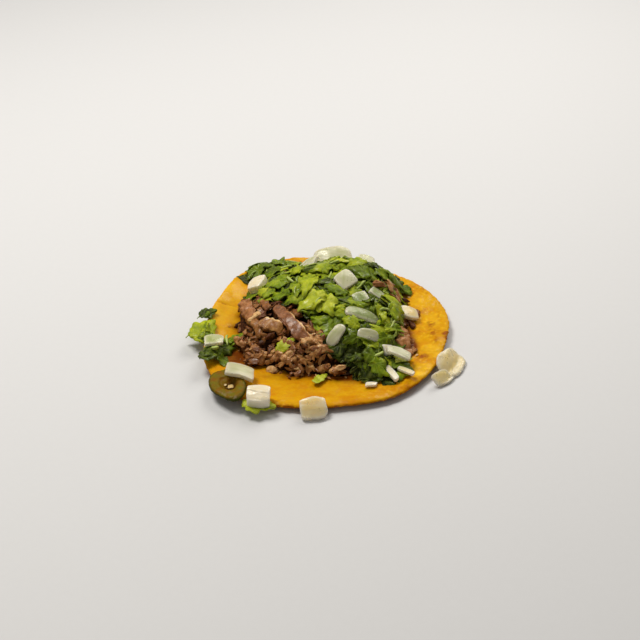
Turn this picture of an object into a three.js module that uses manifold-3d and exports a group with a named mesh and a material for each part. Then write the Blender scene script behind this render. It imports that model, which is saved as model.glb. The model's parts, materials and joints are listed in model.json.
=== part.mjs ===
// An open street taco: one soft maize tortilla lying flat, heaped with chopped grilled beef, a thick
// scatter of chopped coriander leaves, diced onion and one slice of green chilli.
// Millimetres, +Z up. The origin is the middle of the tortilla's flat underside, and the side that faces
// the eater is -Y.

import * as THREE from "three";
import { mergeVertices } from "three/addons/utils/BufferGeometryUtils.js";
import Module from "manifold-3d";

const wasm = await Module();
wasm.setup();

// ---------------------------------------------------------------- driving dimensions

const TORTILLA_RADIUS = 66.8;
// Slow waves that take the rim off a true circle: how many go round, how high in mm, and the angle in
// degrees at which the first one peaks.
const RIM_WAVES = [
  { count: 2, height: 1.2, peak: 62 },
  { count: 3, height: 1.8, peak: -2 },
  { count: 4, height: 1.6, peak: 41 },
  { count: 5, height: 0.8, peak: 14 },
  { count: 11, height: 0.3, peak: 5 },
];
const FLATTENED = { angle: 154, width: 18, depth: 3.6 }; // the back left of the rim is pressed in
const TORTILLA_THICKNESS = 2.8;
const FLAT_RADIUS = 44; // inside this radius the underside lies flat on the table
const RIM_LIFT = 1.5; // how far the rim's underside curls up where nothing pushes it higher

const HEAP_CENTRE = { x: 2, y: 5 };
const HEAP_RADIUS = 46;
const BEEF_HEIGHT = 14; // the bare beef core over the tortilla
const CORIANDER_DEPTH = 3.6; // the bare coriander core over the beef
const CREST = { x: 11, y: 35, height: 5, width: 25 }; // where the coriander is piled highest
const LEAF_THICKNESS = 0.8;

const GAP = 0.3; // clearance between neighbouring pieces
const PERCH = 1.3; // an onion piece in the heap has its middle this far over the heap's bare surface

// ---------------------------------------------------------------- small helpers

const DEG = Math.PI / 180;

const clamp = (value, low, high) => Math.min(high, Math.max(low, value));

/** A repeatable stream of numbers from 0 to 1. */
function randomStream(seed) {
  let state = seed >>> 0;
  return () => {
    state = (state + 0x6d2b79f5) >>> 0;
    let mixed = Math.imul(state ^ (state >>> 15), 1 | state);
    mixed = (mixed + Math.imul(mixed ^ (mixed >>> 7), 61 | mixed)) ^ mixed;
    return ((mixed ^ (mixed >>> 14)) >>> 0) / 4294967296;
  };
}

/** 1 at the angle `centre`, fading to 0 over about `width`, both in degrees. */
function swell(angle, centre, width) {
  const away = Math.atan2(Math.sin(angle - centre * DEG), Math.cos(angle - centre * DEG));
  return Math.exp(-((away / (width * DEG)) ** 2));
}

/** A smooth unevenness from -1 to 1 over the plan, with waves about `wavelength` long. */
function unevenness(x, y, wavelength) {
  const step = (2 * Math.PI) / wavelength;
  const first = Math.sin(step * x + 1.3) * Math.cos(step * 0.83 * y - 0.4);
  const second = Math.sin(step * 0.71 * (x + y) + 2.1);
  return 0.6 * first + 0.4 * second;
}

/** A closed geometry as a manifold-3d solid. */
function solidOf(geometry) {
  const bare = geometry.index ? geometry.toNonIndexed() : geometry.clone();
  bare.deleteAttribute("normal");
  bare.deleteAttribute("uv");
  const merged = mergeVertices(bare, 1e-3);
  return new wasm.Manifold(
    new wasm.Mesh({
      numProp: 3,
      vertProperties: merged.attributes.position.array,
      triVerts: new Uint32Array(merged.index.array),
    }),
  );
}

/** The geometry of a manifold-3d solid. */
function geometryOf(solid) {
  const mesh = solid.getMesh();
  const geometry = new THREE.BufferGeometry();
  geometry.setAttribute("position", new THREE.BufferAttribute(mesh.vertProperties, 3));
  geometry.setIndex(new THREE.BufferAttribute(mesh.triVerts, 1));
  geometry.computeVertexNormals();
  return geometry;
}

/** Moves every vertex of a geometry to warp(vertex). */
function warped(geometry, warp) {
  const position = geometry.attributes.position;
  const vertex = new THREE.Vector3();
  for (let i = 0; i < position.count; i += 1) {
    warp(vertex.fromBufferAttribute(position, i));
    position.setXYZ(i, vertex.x, vertex.y, vertex.z);
  }
  return geometry;
}

/** A lathe with its axis on +Z. Its profile is a list of [radius, level] from the lower pole to the upper. */
function polarGeometry(profile, segments) {
  const points = profile.map(([radius, level]) => new THREE.Vector2(radius, level));
  return new THREE.LatheGeometry(points, segments).rotateX(Math.PI / 2);
}

/** The upward normal of a surface given as a height function, smoothed over a few millimetres. */
function normalOf(surface, x, y) {
  const reach = 4;
  const slopeX = (surface(x + reach, y) - surface(x - reach, y)) / (2 * reach);
  const slopeY = (surface(x, y + reach) - surface(x, y - reach)) / (2 * reach);
  return new THREE.Vector3(-slopeX, -slopeY, 1).normalize();
}

/** Lays a piece on a surface at x, y: turned by yaw, then tipped by pitch and roll off the surface. */
function laid(geometry, { x, y, z = 0, yaw = 0, pitch = 0, roll = 0 }, surface) {
  const lean = new THREE.Quaternion().setFromUnitVectors(new THREE.Vector3(0, 0, 1), normalOf(surface, x, y));
  const turn = new THREE.Quaternion().setFromEuler(new THREE.Euler(pitch * DEG, roll * DEG, yaw * DEG, "ZXY"));
  const matrix = new THREE.Matrix4().makeRotationFromQuaternion(lean.multiply(turn)).setPosition(x, y, z);
  return geometry.applyMatrix4(matrix);
}

const unionOf = (solids) => wasm.Manifold.union(solids);

/** The largest of a solid's separate bodies. */
function largest(solid) {
  const bodies = solid.decompose();
  return bodies.reduce((best, body) => (body.volume() > best.volume() ? body : best));
}

// ---------------------------------------------------------------- tortilla

const RIM_PROFILE = [
  [0, 0],
  [0.3, 0],
  [0.62, 0],
  [0.78, 0],
  [0.9, 0],
  [0.97, 0.03],
  [0.995, 0.25],
  [1, 0.55],
  [0.985, 0.85],
  [0.95, 1],
  [0.87, 1],
  [0.78, 1],
  [0.66, 1],
  [0.4, 1],
  [0, 1],
];
const TORTILLA_SEGMENTS = 54;

function rimRadius(angle) {
  const waves = RIM_WAVES.map(({ count, height, peak }) => height * Math.cos(count * (angle - peak * DEG)));
  const pressed = FLATTENED.depth * swell(angle, FLATTENED.angle, FLATTENED.width);
  return TORTILLA_RADIUS - pressed + waves.reduce((sum, wave) => sum + wave, 0);
}

/** The rim curls up most at the far left, a little at the back and the right. */
function rimLift(angle) {
  const left = 4.6 * swell(angle, 160, 30);
  const back = 2.4 * swell(angle, 108, 24);
  const right = 1.2 * swell(angle, -8, 30);
  return RIM_LIFT + left + back + right;
}

function undersideHeight(x, y) {
  const angle = Math.atan2(y, x);
  const rim = rimRadius(angle);
  const outward = clamp((Math.hypot(x, y) - FLAT_RADIUS) / (rim - FLAT_RADIUS), 0, 1);
  return rimLift(angle) * outward ** 1.7;
}

/** Height of the tortilla's upper face, with the soft ripple that the griddle leaves. */
function tortillaTop(x, y) {
  return undersideHeight(x, y) + TORTILLA_THICKNESS + 0.3 * unevenness(x, y, 34);
}

function tortillaSolid(grow) {
  const geometry = polarGeometry(RIM_PROFILE, TORTILLA_SEGMENTS);
  return solidOf(
    warped(geometry, (vertex) => {
      const angle = Math.atan2(vertex.y, vertex.x);
      const share = Math.hypot(vertex.x, vertex.y);
      const level = vertex.z;
      const radius = share * rimRadius(angle);
      const x = radius * Math.cos(angle);
      const y = radius * Math.sin(angle);
      const low = undersideHeight(x, y) - grow;
      const high = tortillaTop(x, y) + grow;
      const spread = 1 + (share * grow) / TORTILLA_RADIUS;
      vertex.set(x * spread, y * spread, low + level * (high - low));
    }),
  );
}

// ---------------------------------------------------------------- chopped coriander's edge and the heap's form

// The edge of the coriander, anticlockwise from its far right. It covers the back and the right of the meat.
const CORIANDER_EDGE = [
  [43, 10],
  [42, 24],
  [45, 38],
  [35, 52],
  [10, 57],
  [-18, 58],
  [-38, 53],
  [-46, 40],
  [-33, 14],
  [-15, 1],
  [-5, -13],
  [3, -24],
  [4, -33],
  [12, -38],
  [22, -44],
  [30, -48],
  [38, -43],
  [42, -28],
  [43, -9],
];
const CORIANDER_CENTRE = { x: 11, y: 9 };

const corianderEdge = new THREE.CatmullRomCurve3(
  CORIANDER_EDGE.map(([x, y]) => new THREE.Vector3(x, y, 0)),
  true,
  "centripetal",
).getSpacedPoints(180);

/** Distance from the coriander's centre to its edge in one direction. */
function corianderRadius(angle) {
  const directions = corianderEdge.map((point) => {
    const dx = point.x - CORIANDER_CENTRE.x;
    const dy = point.y - CORIANDER_CENTRE.y;
    const away = angle - Math.atan2(dy, dx);
    return { radius: Math.hypot(dx, dy), away: Math.abs(Math.atan2(Math.sin(away), Math.cos(away))) };
  });
  return directions.reduce((best, next) => (next.away < best.away ? next : best)).radius;
}

/** How far out a point is in the coriander, from 0 at its centre to 1 at its edge. */
function corianderShare(x, y) {
  const dx = x - CORIANDER_CENTRE.x;
  const dy = y - CORIANDER_CENTRE.y;
  return Math.hypot(dx, dy) / corianderRadius(Math.atan2(dy, dx));
}

function heapRadius(angle) {
  const left = 4 * swell(angle, 212, 20);
  const right = 4 * swell(angle, 0, 34);
  const back = 8 * swell(angle, 55, 32);
  return HEAP_RADIUS + left - right + back + 0.8 * Math.cos(5 * angle);
}

/** How far out a point of the heap is, from 0 at its centre to 1 at its foot. */
function heapShare(x, y) {
  const dx = x - HEAP_CENTRE.x;
  const dy = y - HEAP_CENTRE.y;
  return Math.hypot(dx, dy) / heapRadius(Math.atan2(dy, dx));
}

/** Height of the bare beef core's top. */
function beefTop(x, y) {
  const share = Math.min(1, heapShare(x, y));
  const rise = BEEF_HEIGHT * (1 - share ** 3.2) ** 0.85 * (1 + 0.1 * unevenness(x, y, 27));
  return tortillaTop(x, y) + rise;
}

/** Height of the bare coriander core's top. */
function corianderTop(x, y) {
  const share = Math.min(1, corianderShare(x, y));
  const crest = CREST.height * Math.exp(-(((x - CREST.x) ** 2 + (y - CREST.y) ** 2) / CREST.width ** 2));
  const depth = (CORIANDER_DEPTH + crest) * (1 - share ** 5) * (1 + 0.2 * unevenness(x, y, 19));
  return beefTop(x, y) + depth;
}

/** Height of the heap's bare surface, whichever of the two it is made of. */
const heapTop = (x, y) => (corianderShare(x, y) < 1 ? corianderTop(x, y) : beefTop(x, y));

/** Places over the heap on a honeycomb of the given spacing, each moved a little at random. */
function scatter(spacing, random) {
  const rows = Math.ceil(60 / spacing);
  const places = [];
  for (let row = -rows; row <= rows; row += 1) {
    for (let column = -rows; column <= rows; column += 1) {
      const x = (column + 0.5 * (row & 1) + 0.5 * (random() - 0.5)) * spacing;
      const y = (row * Math.sqrt(0.75) + 0.5 * (random() - 0.5)) * spacing;
      places.push({ x: x + HEAP_CENTRE.x, y: y + HEAP_CENTRE.y });
    }
  }
  return places;
}

// ---------------------------------------------------------------- chopped beef

const BEEF_PROFILE = [
  [0, 0],
  [0.6, 0],
  [1, 0],
  [1, 1],
  [0.97, 1],
  [0.9, 1],
  [0.78, 1],
  [0.6, 1],
  [0.35, 1],
  [0, 1],
];
const BEEF_SEGMENTS = 28;
const CHUNK_SPACING = 7.8;
const CORE_BURIAL = 1.2; // a core reaches this far into what carries it before it is cut to fit

function beefCore(grow) {
  const geometry = polarGeometry(BEEF_PROFILE, BEEF_SEGMENTS);
  return solidOf(
    warped(geometry, (vertex) => {
      const angle = Math.atan2(vertex.y, vertex.x);
      const radius = Math.hypot(vertex.x, vertex.y) * heapRadius(angle);
      const x = HEAP_CENTRE.x + radius * Math.cos(angle);
      const y = HEAP_CENTRE.y + radius * Math.sin(angle);
      const spread = grow / HEAP_RADIUS;
      const low = tortillaTop(x, y) - CORE_BURIAL;
      const z = vertex.z > 0.5 ? beefTop(x, y) + grow : low;
      vertex.set(x + (x - HEAP_CENTRE.x) * spread, y + (y - HEAP_CENTRE.y) * spread, z);
    }),
  );
}

/** A knobbly chopped chunk of meat: a block whose corners are worn in and whose faces are lumpy. */
function chunk({ length, width, height, phase, ...place }, grow) {
  const geometry = new THREE.BoxGeometry(2, 2, 2, 2, 2, 1);
  warped(geometry, (vertex) => {
    const worn = Math.min(1, 1.25 / vertex.length());
    const lumps = 0.13 * Math.sin(2.6 * vertex.x + phase) + 0.13 * Math.cos(3.1 * vertex.y - 2 * phase);
    vertex.multiplyScalar(worn + lumps);
    vertex.set(vertex.x * (length / 2 + grow), vertex.y * (width / 2 + grow), vertex.z * (height / 2 + grow));
  });
  return solidOf(laid(geometry, place, beefTop));
}

/** A flat shred of meat, torn along its grain, narrower at its ends and bent along its length. */
function shred({ length, width, height, bend, ...place }, grow) {
  const pieces = length > 14 ? 4 : 3;
  const geometry = new THREE.BoxGeometry(length + 2 * grow, width + 2 * grow, height + 2 * grow, pieces);
  warped(geometry, (vertex) => {
    const along = (2 * vertex.x) / length;
    vertex.y *= 1 - 0.35 * along * along;
    vertex.z += bend * (0.4 - along * along) + 0.08 * along * vertex.y;
  });
  return solidOf(laid(geometry, place, beefTop));
}

// The shreds that stand out of the chopped meat: the long flat one, the roll at the left and their like.
// Each lies on the meat, raised by `over`.
const SHREDS = [
  { x: -16, y: -14, over: 3, yaw: -52, pitch: 10, roll: 6, length: 30, width: 6, height: 2.6, bend: 0.4 },
  { x: -39, y: 4, over: 1.8, yaw: -76, pitch: 0, roll: 4, length: 27, width: 8, height: 6, bend: 1.6 },
  { x: -27, y: -15, over: 2.2, yaw: -8, pitch: 8, roll: 10, length: 17, width: 8, height: 4, bend: 1.4 },
  { x: -31, y: 5, over: 1.6, yaw: -64, pitch: 4, roll: 0, length: 16, width: 6, height: 4.5, bend: 1 },
  { x: -38, y: -18, over: 1.2, yaw: -30, pitch: 6, roll: 10, length: 15, width: 5, height: 4, bend: 1 },
  { x: -18, y: -32, over: 1.4, yaw: 26, pitch: 6, roll: 0, length: 15, width: 6, height: 4, bend: 1.4 },
  { x: -3, y: -31, over: 1.6, yaw: -38, pitch: 4, roll: 6, length: 14, width: 6, height: 4, bend: 1 },
  { x: 8, y: -38, over: 0.8, yaw: 8, pitch: 0, roll: 0, length: 14, width: 5, height: 4, bend: 1 },
  { x: 42, y: -14, over: 1, yaw: -82, pitch: -4, roll: 4, length: 16, width: 6.5, height: 5, bend: 1 },
  { x: 37, y: 25.5, over: 4, yaw: -6, pitch: 10, roll: -14, length: 13, width: 5.5, height: 2.8, bend: 1 },
  { x: -26, y: 42, over: 2, yaw: 160, pitch: -10, roll: 8, length: 13, width: 6, height: 5, bend: 1 },
];

/** Chunks scattered wherever the coriander leaves the meat in sight. */
function chunks(grow) {
  const random = randomStream(41);
  const solids = [];
  scatter(CHUNK_SPACING, random).forEach(({ x, y }, index) => {
    const length = 8 + 4.5 * random();
    const width = length * (0.5 + 0.25 * random());
    const height = length * (0.45 + 0.2 * random());
    const tips = { yaw: 360 * random(), pitch: 40 * (random() - 0.5), roll: 40 * (random() - 0.5) };
    const phase = 6 * random();
    if (heapShare(x, y) > 1 || corianderShare(x, y) < 1.04) return;
    const z = Math.max(beefTop(x, y), tortillaTop(x, y) + 0.4 * height);
    const piece = { x, y, z, ...tips, length, width, height };
    solids.push(index % 3 === 0 ? shred({ ...piece, bend: 1.2 }, grow) : chunk({ ...piece, phase }, grow));
  });
  return solids;
}

function beefSolid(grow) {
  const shreds = SHREDS.map(({ over, ...piece }) => {
    const z = beefTop(piece.x, piece.y) + over;
    return shred({ ...piece, z }, grow);
  });
  return unionOf([beefCore(grow), ...shreds, ...chunks(grow)]);
}

// ---------------------------------------------------------------- chopped coriander

const CORIANDER_SEGMENTS = 30;
const LEAF_SPACING = 12.2;
const CORIANDER_PROFILE = [
  [0, 0],
  [0.6, 0],
  [1, 0],
  [1, 0.5],
  [0.93, 1],
  [0.7, 1],
  [0.4, 1],
  [0, 1],
];

function corianderCore() {
  const geometry = polarGeometry(CORIANDER_PROFILE, CORIANDER_SEGMENTS);
  return solidOf(
    warped(geometry, (vertex) => {
      const angle = Math.atan2(vertex.y, vertex.x);
      const radius = Math.hypot(vertex.x, vertex.y) * corianderRadius(angle);
      const x = CORIANDER_CENTRE.x + radius * Math.cos(angle);
      const y = CORIANDER_CENTRE.y + radius * Math.sin(angle);
      const low = beefTop(x, y) - CORE_BURIAL;
      const high = Math.max(corianderTop(x, y), beefTop(x, y) + 1.2);
      vertex.set(x, y, low + vertex.z * (high - low));
    }),
  );
}

/** A chopped coriander leaf: a thin wavy fan with three lobes, both faces split alike. */
function leaf({ length, width, cup, phase, ...place }, grow = 0, surface = tortillaTop) {
  const sides = 9;
  const geometry = new THREE.CylinderGeometry(1, 1, 1, sides, 1).rotateX(Math.PI / 2);
  warped(geometry, (vertex) => {
    const angle = Math.atan2(vertex.y, vertex.x);
    const share = Math.hypot(vertex.x, vertex.y);
    const lobe = 1 + 0.24 * Math.cos(3 * angle) + 0.1 * Math.cos(5 * angle + phase);
    const wave = cup * share * (0.6 + 0.5 * Math.sin(2 * angle + phase) + 0.4 * Math.cos(3 * angle - phase));
    const reach = 0.82 * lobe;
    vertex.x *= (length / 2) * reach + grow;
    vertex.y *= (width / 2) * reach + grow;
    vertex.z = vertex.z * (LEAF_THICKNESS + 2 * grow) + wave - 0.6 * cup;
  });
  return solidOf(laid(geometry, place, surface));
}

/** Leaves scattered over the coriander, each tipped its own way and rooted in the core. */
function heapLeaves() {
  const random = randomStream(7);
  const leaves = [];
  for (const { x, y } of scatter(LEAF_SPACING, random)) {
    const length = 11 + 5 * random();
    const width = length * (0.7 + 0.25 * random());
    const tips = { yaw: 360 * random(), pitch: 36 * (random() - 0.5), roll: 36 * (random() - 0.5) };
    const shape = { length, width, cup: 0.6 + 1.2 * random(), phase: 6 * random() };
    if (corianderShare(x, y) > 1) continue;
    leaves.push(leaf({ ...shape, ...tips, x, y, z: corianderTop(x, y) + 0.7 }, 0, corianderTop));
  }
  return leaves;
}

// ---------------------------------------------------------------- onion, loose leaves and chilli

// Onion pieces in the heap: where each lies, how it is turned and tipped off the heap's surface, its
// length, width and thickness, and how far it is bowed. The heap closes in round them.
const HEAP_ONIONS = [
  { x: 7, y: 50, yaw: 0, pitch: 78, roll: 0, length: 21, width: 13.5, height: 2.6, bow: 3, over: 5 },
  { x: -8, y: 41, yaw: -18, pitch: 30, roll: -6, length: 10, width: 9, height: 2.6, bow: 2, over: 2.2 },
  { x: 11.5, y: 13, yaw: 42, pitch: 6, roll: 8, length: 11, width: 10.5, height: 4, bow: 1 },
  { x: 24, y: 49, yaw: -8, pitch: 56, roll: 0, length: 9, width: 7, height: 2.6, bow: 1, over: 4 },
  { x: 28, y: 8, yaw: 64, pitch: 4, roll: 8, length: 8.5, width: 7.5, height: 2.6, bow: 1.2 },
  { x: 19, y: 2, yaw: 20, pitch: 8, roll: 0, length: 8.5, width: 7, height: 2.6, bow: 1.2 },
  { x: 19.4, y: -11, yaw: 4, pitch: 10, roll: 0, length: 19, width: 8, height: 2.6, bow: 2.4 },
  { x: 46, y: 9, yaw: 4, pitch: 8, roll: -10, length: 9, width: 8.5, height: 2.6, bow: 0.8, over: 2.4 },
  { x: 6, y: -25, yaw: 50, pitch: 10, roll: -10, length: 12.5, width: 7, height: 3.2, bow: 1.4 },
  { x: 23, y: -24, yaw: 6, pitch: 8, roll: 6, length: 11.5, width: 6.2, height: 2.6, bow: 1.2 },
  { x: 33, y: -26, yaw: 24, pitch: 0, roll: 4, length: 7, width: 6, height: 3.2, bow: 0.4 },
  { x: 38, y: -31, yaw: -14, pitch: 0, roll: 0, length: 12, width: 7, height: 2.4, bow: 1, over: 1.8 },
  { x: 34, y: -41.8, yaw: -66, pitch: 0, roll: -14, length: 12, width: 3.6, height: 3, bow: 0.4 },
  { x: -36, y: 34, yaw: 70, pitch: 0, roll: -6, length: 10.5, width: 9.5, height: 6, bow: 0.8 },
];

// Onion pieces that fell on the tortilla, some of them leaning out over its rim.
const FALLEN_ONIONS = [
  { x: 41, y: -41.5, yaw: -38, pitch: 0, roll: 0, length: 9.5, width: 3.2, height: 2.2, bow: 0.4 },
  { x: 23.5, y: -49, yaw: 4, pitch: 0, roll: 0, length: 5.5, width: 2.8, height: 2.2, bow: 0.3 },
  { x: 65, y: -29.5, yaw: 58, pitch: 20, roll: 0, length: 18, width: 14, height: 2.4, bow: 2 },
  { x: 59.5, y: -41.5, yaw: 40, pitch: 16, roll: 0, length: 11, width: 6, height: 2.2, bow: 0.8 },
  { x: -5, y: -67, yaw: 10, pitch: 22, roll: 0, length: 13, width: 10, height: 3, bow: 1.2 },
  { x: -31.4, y: -62.5, yaw: -4, pitch: 6, roll: 0, length: 11.5, width: 10, height: 6, bow: 0.3 },
  { x: -41.4, y: -45, yaw: -4, pitch: 0, roll: 12, length: 14.5, width: 10, height: 2.6, bow: 1.2 },
  { x: -56, y: -20, yaw: 14, pitch: 0, roll: 0, length: 10, width: 8, height: 2.4, bow: 1.2 },
];

// Leaves that lie apart from the heap, on the rim or on the bare meat.
const FALLEN_LEAVES = [
  { x: -61, y: -8, yaw: 70, pitch: 0, roll: -6, length: 20, width: 16, cup: 1.4, phase: 1.1 },
  { x: -51, y: -20, yaw: 12, pitch: 4, roll: 2, length: 13, width: 10, cup: 1.6, phase: 3.4 },
  { x: -57.5, y: -28, yaw: 70, pitch: 0, roll: 0, length: 15, width: 10, cup: 1.2, phase: 5.2 },
  { x: -61.5, y: 7, yaw: 30, pitch: 0, roll: -8, length: 11, width: 9, cup: 0.8, phase: 0.4 },
  { x: -32.5, y: -66, yaw: -8, pitch: 4, roll: 0, length: 19, width: 11, cup: 0.8, phase: 2.5 },
  { x: -2, y: -44.5, yaw: 50, pitch: 4, roll: 0, length: 12, width: 5, cup: 0.5, phase: 3.1 },
];
const BEEF_LEAVES = [
  { x: -45, y: -12, yaw: 34, pitch: 0, roll: 0, length: 13, width: 10, cup: 1, phase: 4.4 },
  { x: -20, y: -27, over: 2.6, yaw: 30, pitch: 0, roll: 0, length: 13, width: 7, cup: 0.8, phase: 1.9 },
];

const CHILLI = { x: -47, y: -51.5, yaw: -64, pitch: 10, roll: 0, radius: 13, height: 2.8 };

/** A piece of onion layer: a bowed slab whose corners are cut uneven. */
function onionPiece({ length, width, height, bow, ...place }, grow, surface) {
  const geometry = new THREE.BoxGeometry(length, width, height, 3, width < 8 ? 1 : 2, 1);
  warped(geometry, (vertex) => {
    const along = (2 * vertex.x) / length;
    const across = (2 * vertex.y) / width;
    const taper = 1 - 0.16 * along * along * (1 + 0.6 * Math.sin(length * 7 + width));
    const arch = bow * (0.5 - 0.75 * along * along - 0.25 * across * across);
    const swollen = 1 - 0.22 * across * across;
    vertex.x += grow * along + 0.07 * length * across * Math.sin(width * 5);
    vertex.y = vertex.y * taper + grow * across;
    vertex.z = vertex.z * swollen + grow * Math.sign(vertex.z) + arch;
  });
  return solidOf(laid(geometry, place, surface));
}

/** A slanting slice across a green chilli: a lumpy oval disc with a shallow dish where its seeds sit. */
function chilliSlice({ radius, height, ...place }, grow, surface) {
  const half = height / 2;
  const profile = [
    [0, -half],
    [0.8 * radius, -half],
    [radius, -0.4 * half],
    [radius, 0.5 * half],
    [0.86 * radius, half],
    [0.5 * radius, half],
    [0.36 * radius, 0.1 * half],
    [0, 0.1 * half],
  ];
  const grown = profile.map(([r, level]) => [r > 0 ? r + grow : 0, level + grow * Math.sign(level)]);
  const geometry = polarGeometry(grown, 20);
  warped(geometry, (vertex) => {
    const angle = Math.atan2(vertex.y, vertex.x);
    const lumps = 1 + 0.06 * Math.cos(3 * angle) + 0.03 * Math.cos(5 * angle + 1);
    vertex.x *= lumps;
    vertex.y *= 0.66 * lumps;
  });
  return solidOf(laid(geometry, place, surface));
}

/** The height at which a piece, coming straight down, first touches what is below it. */
function restHeight(piece, below) {
  const steps = 12;
  let low = -5;
  let high = 35;
  for (let i = 0; i < steps; i += 1) {
    const middle = (low + high) / 2;
    const touches = !piece.translate([0, 0, middle]).intersect(below).isEmpty();
    if (touches) low = middle;
    else high = middle;
  }
  return high;
}

/** The table top, which nothing that hangs over the rim goes through. */
const TABLE = solidOf(new THREE.BoxGeometry(240, 240, 8).translate(0, 0, -4));

// ---------------------------------------------------------------- building up the taco

const tortilla = tortillaSolid(0);
const tortillaRoom = tortillaSolid(GAP);
const bareBeef = largest(beefSolid(0).subtract(tortillaRoom));
const bareCoriander = largest(
  unionOf([corianderCore(), ...heapLeaves()]).subtract(beefSolid(GAP)).subtract(tortillaRoom),
);
const heap = unionOf([bareBeef, bareCoriander]);

const loose = [];
let firm = unionOf([TABLE, tortilla]);

/** Adds a piece at a height over the origin. `make` returns it at no height, grown by its argument. */
function add(name, make, height) {
  const solid = make(0).translate([0, 0, height]);
  firm = firm.add(solid);
  loose.push({ name, solid, room: make(GAP).translate([0, 0, height]) });
}

/** Sets pieces into the heap, which is cut to make room for them. */
function setIn(name, shape, pieces, surface) {
  pieces.forEach(({ over = PERCH, ...piece }, index) => {
    const make = (grow) => shape(piece, grow, surface);
    const height = Math.max(restHeight(make(GAP), firm), surface(piece.x, piece.y) + over);
    add(`${name}_${index + 1}`, make, height);
  });
}

/** Drops pieces on the tortilla in turn, each on top of those before it and of the heap's foot. */
function drop(name, shape, pieces) {
  pieces.forEach((piece, index) => {
    const make = (grow) => shape(piece, grow, tortillaTop);
    add(`${name}_${index + 1}`, make, restHeight(make(GAP), firm.add(heap)));
  });
}

drop("chilli_slice", chilliSlice, [CHILLI]);
drop("fallen_leaf", leaf, FALLEN_LEAVES);
drop("fallen_onion", onionPiece, FALLEN_ONIONS);
setIn("beef_leaf", leaf, BEEF_LEAVES, heapTop);
setIn("heap_onion", onionPiece, HEAP_ONIONS, heapTop);

const looseRoom = unionOf(loose.map((piece) => piece.room));
const beef = largest(bareBeef.subtract(looseRoom));
const coriander = largest(bareCoriander.subtract(looseRoom));

// ---------------------------------------------------------------- finishes and scene graph

const finish = (color, roughness) => new THREE.MeshStandardMaterial({ color, roughness, metalness: 0 });

const FINISHES = {
  tortilla: finish(0xe0a31a, 0.45),
  beef: finish(0x70492a, 0.5),
  coriander: finish(0x5f7d1c, 0.45),
  heap_onion: finish(0xdcd6bf, 0.3),
  fallen_onion: finish(0xdcd6bf, 0.3),
  beef_leaf: finish(0x5f8a14, 0.45),
  fallen_leaf: finish(0x5f8a14, 0.45),
  chilli_slice: finish(0x7b6a1c, 0.35),
};

function pieceMesh(name, solid, material) {
  const mesh = new THREE.Mesh(geometryOf(solid), material);
  mesh.name = name;
  return mesh;
}

const taco = new THREE.Group();
taco.add(pieceMesh("tortilla", tortilla, FINISHES.tortilla));
taco.add(pieceMesh("beef", beef, FINISHES.beef));
taco.add(pieceMesh("coriander", coriander, FINISHES.coriander));

const toppings = new THREE.Group();
for (const { name, solid } of loose) {
  const kind = name.replace(/_\d+$/, "");
  toppings.add(pieceMesh(name, solid, FINISHES[kind]));
}
taco.add(toppings);

export default taco;
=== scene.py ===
"""An open street taco: a soft maize tortilla lying flat under chopped grilled beef, chopped coriander
leaves, diced onion and a slice of green chilli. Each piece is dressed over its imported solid.

Inside the functions all lengths are millimetres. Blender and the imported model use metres."""

import json
import math
import random
from collections import namedtuple
from functools import cached_property

import bpy
import numpy as np
from bpy.props import FloatProperty, FloatVectorProperty, IntProperty, PointerProperty
from mathutils import Matrix, Vector, geometry, noise
from mathutils.bvhtree import BVHTree

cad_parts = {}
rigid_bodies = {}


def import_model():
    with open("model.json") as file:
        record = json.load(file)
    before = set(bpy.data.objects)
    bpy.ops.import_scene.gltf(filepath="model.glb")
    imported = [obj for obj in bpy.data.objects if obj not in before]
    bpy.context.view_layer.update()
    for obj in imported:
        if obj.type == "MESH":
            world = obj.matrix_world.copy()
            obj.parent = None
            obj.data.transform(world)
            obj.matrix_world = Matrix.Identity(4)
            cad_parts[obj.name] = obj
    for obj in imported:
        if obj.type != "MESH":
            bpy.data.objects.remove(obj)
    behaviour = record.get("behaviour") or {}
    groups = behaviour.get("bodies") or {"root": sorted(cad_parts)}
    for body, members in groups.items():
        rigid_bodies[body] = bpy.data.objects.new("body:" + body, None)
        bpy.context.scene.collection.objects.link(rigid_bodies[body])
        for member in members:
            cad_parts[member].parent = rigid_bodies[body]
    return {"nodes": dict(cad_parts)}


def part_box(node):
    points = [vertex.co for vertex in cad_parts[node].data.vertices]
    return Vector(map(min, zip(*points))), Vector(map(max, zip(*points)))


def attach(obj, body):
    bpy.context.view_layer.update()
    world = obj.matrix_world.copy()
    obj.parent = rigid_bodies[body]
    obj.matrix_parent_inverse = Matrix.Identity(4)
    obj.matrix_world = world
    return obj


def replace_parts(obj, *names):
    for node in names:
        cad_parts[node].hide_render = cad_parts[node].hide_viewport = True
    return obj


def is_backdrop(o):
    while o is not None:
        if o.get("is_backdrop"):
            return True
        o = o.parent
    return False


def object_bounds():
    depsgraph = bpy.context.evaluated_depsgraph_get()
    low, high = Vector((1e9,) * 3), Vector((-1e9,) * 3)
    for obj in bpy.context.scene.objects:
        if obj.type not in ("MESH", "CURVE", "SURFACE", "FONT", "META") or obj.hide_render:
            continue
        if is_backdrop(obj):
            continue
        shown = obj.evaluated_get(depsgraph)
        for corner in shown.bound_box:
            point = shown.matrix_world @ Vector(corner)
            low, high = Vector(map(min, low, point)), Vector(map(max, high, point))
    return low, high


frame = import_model()
CAD_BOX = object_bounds()

bl_info = {
    "name": "Open taco",
    "version": (1, 0, 0),
    "blender": (4, 5, 0),
    "location": "3D View > Sidebar > Taco",
    "description": "Builds an open taco with beef, coriander, onion and chilli over its packed solids",
    "category": "Object",
}

BODY = "root"
MM = 0.001
FAR = 100.0  # over and under everything on the table
ANY_TURN = (0, 6.3)  # radians, for a random heading

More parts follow.
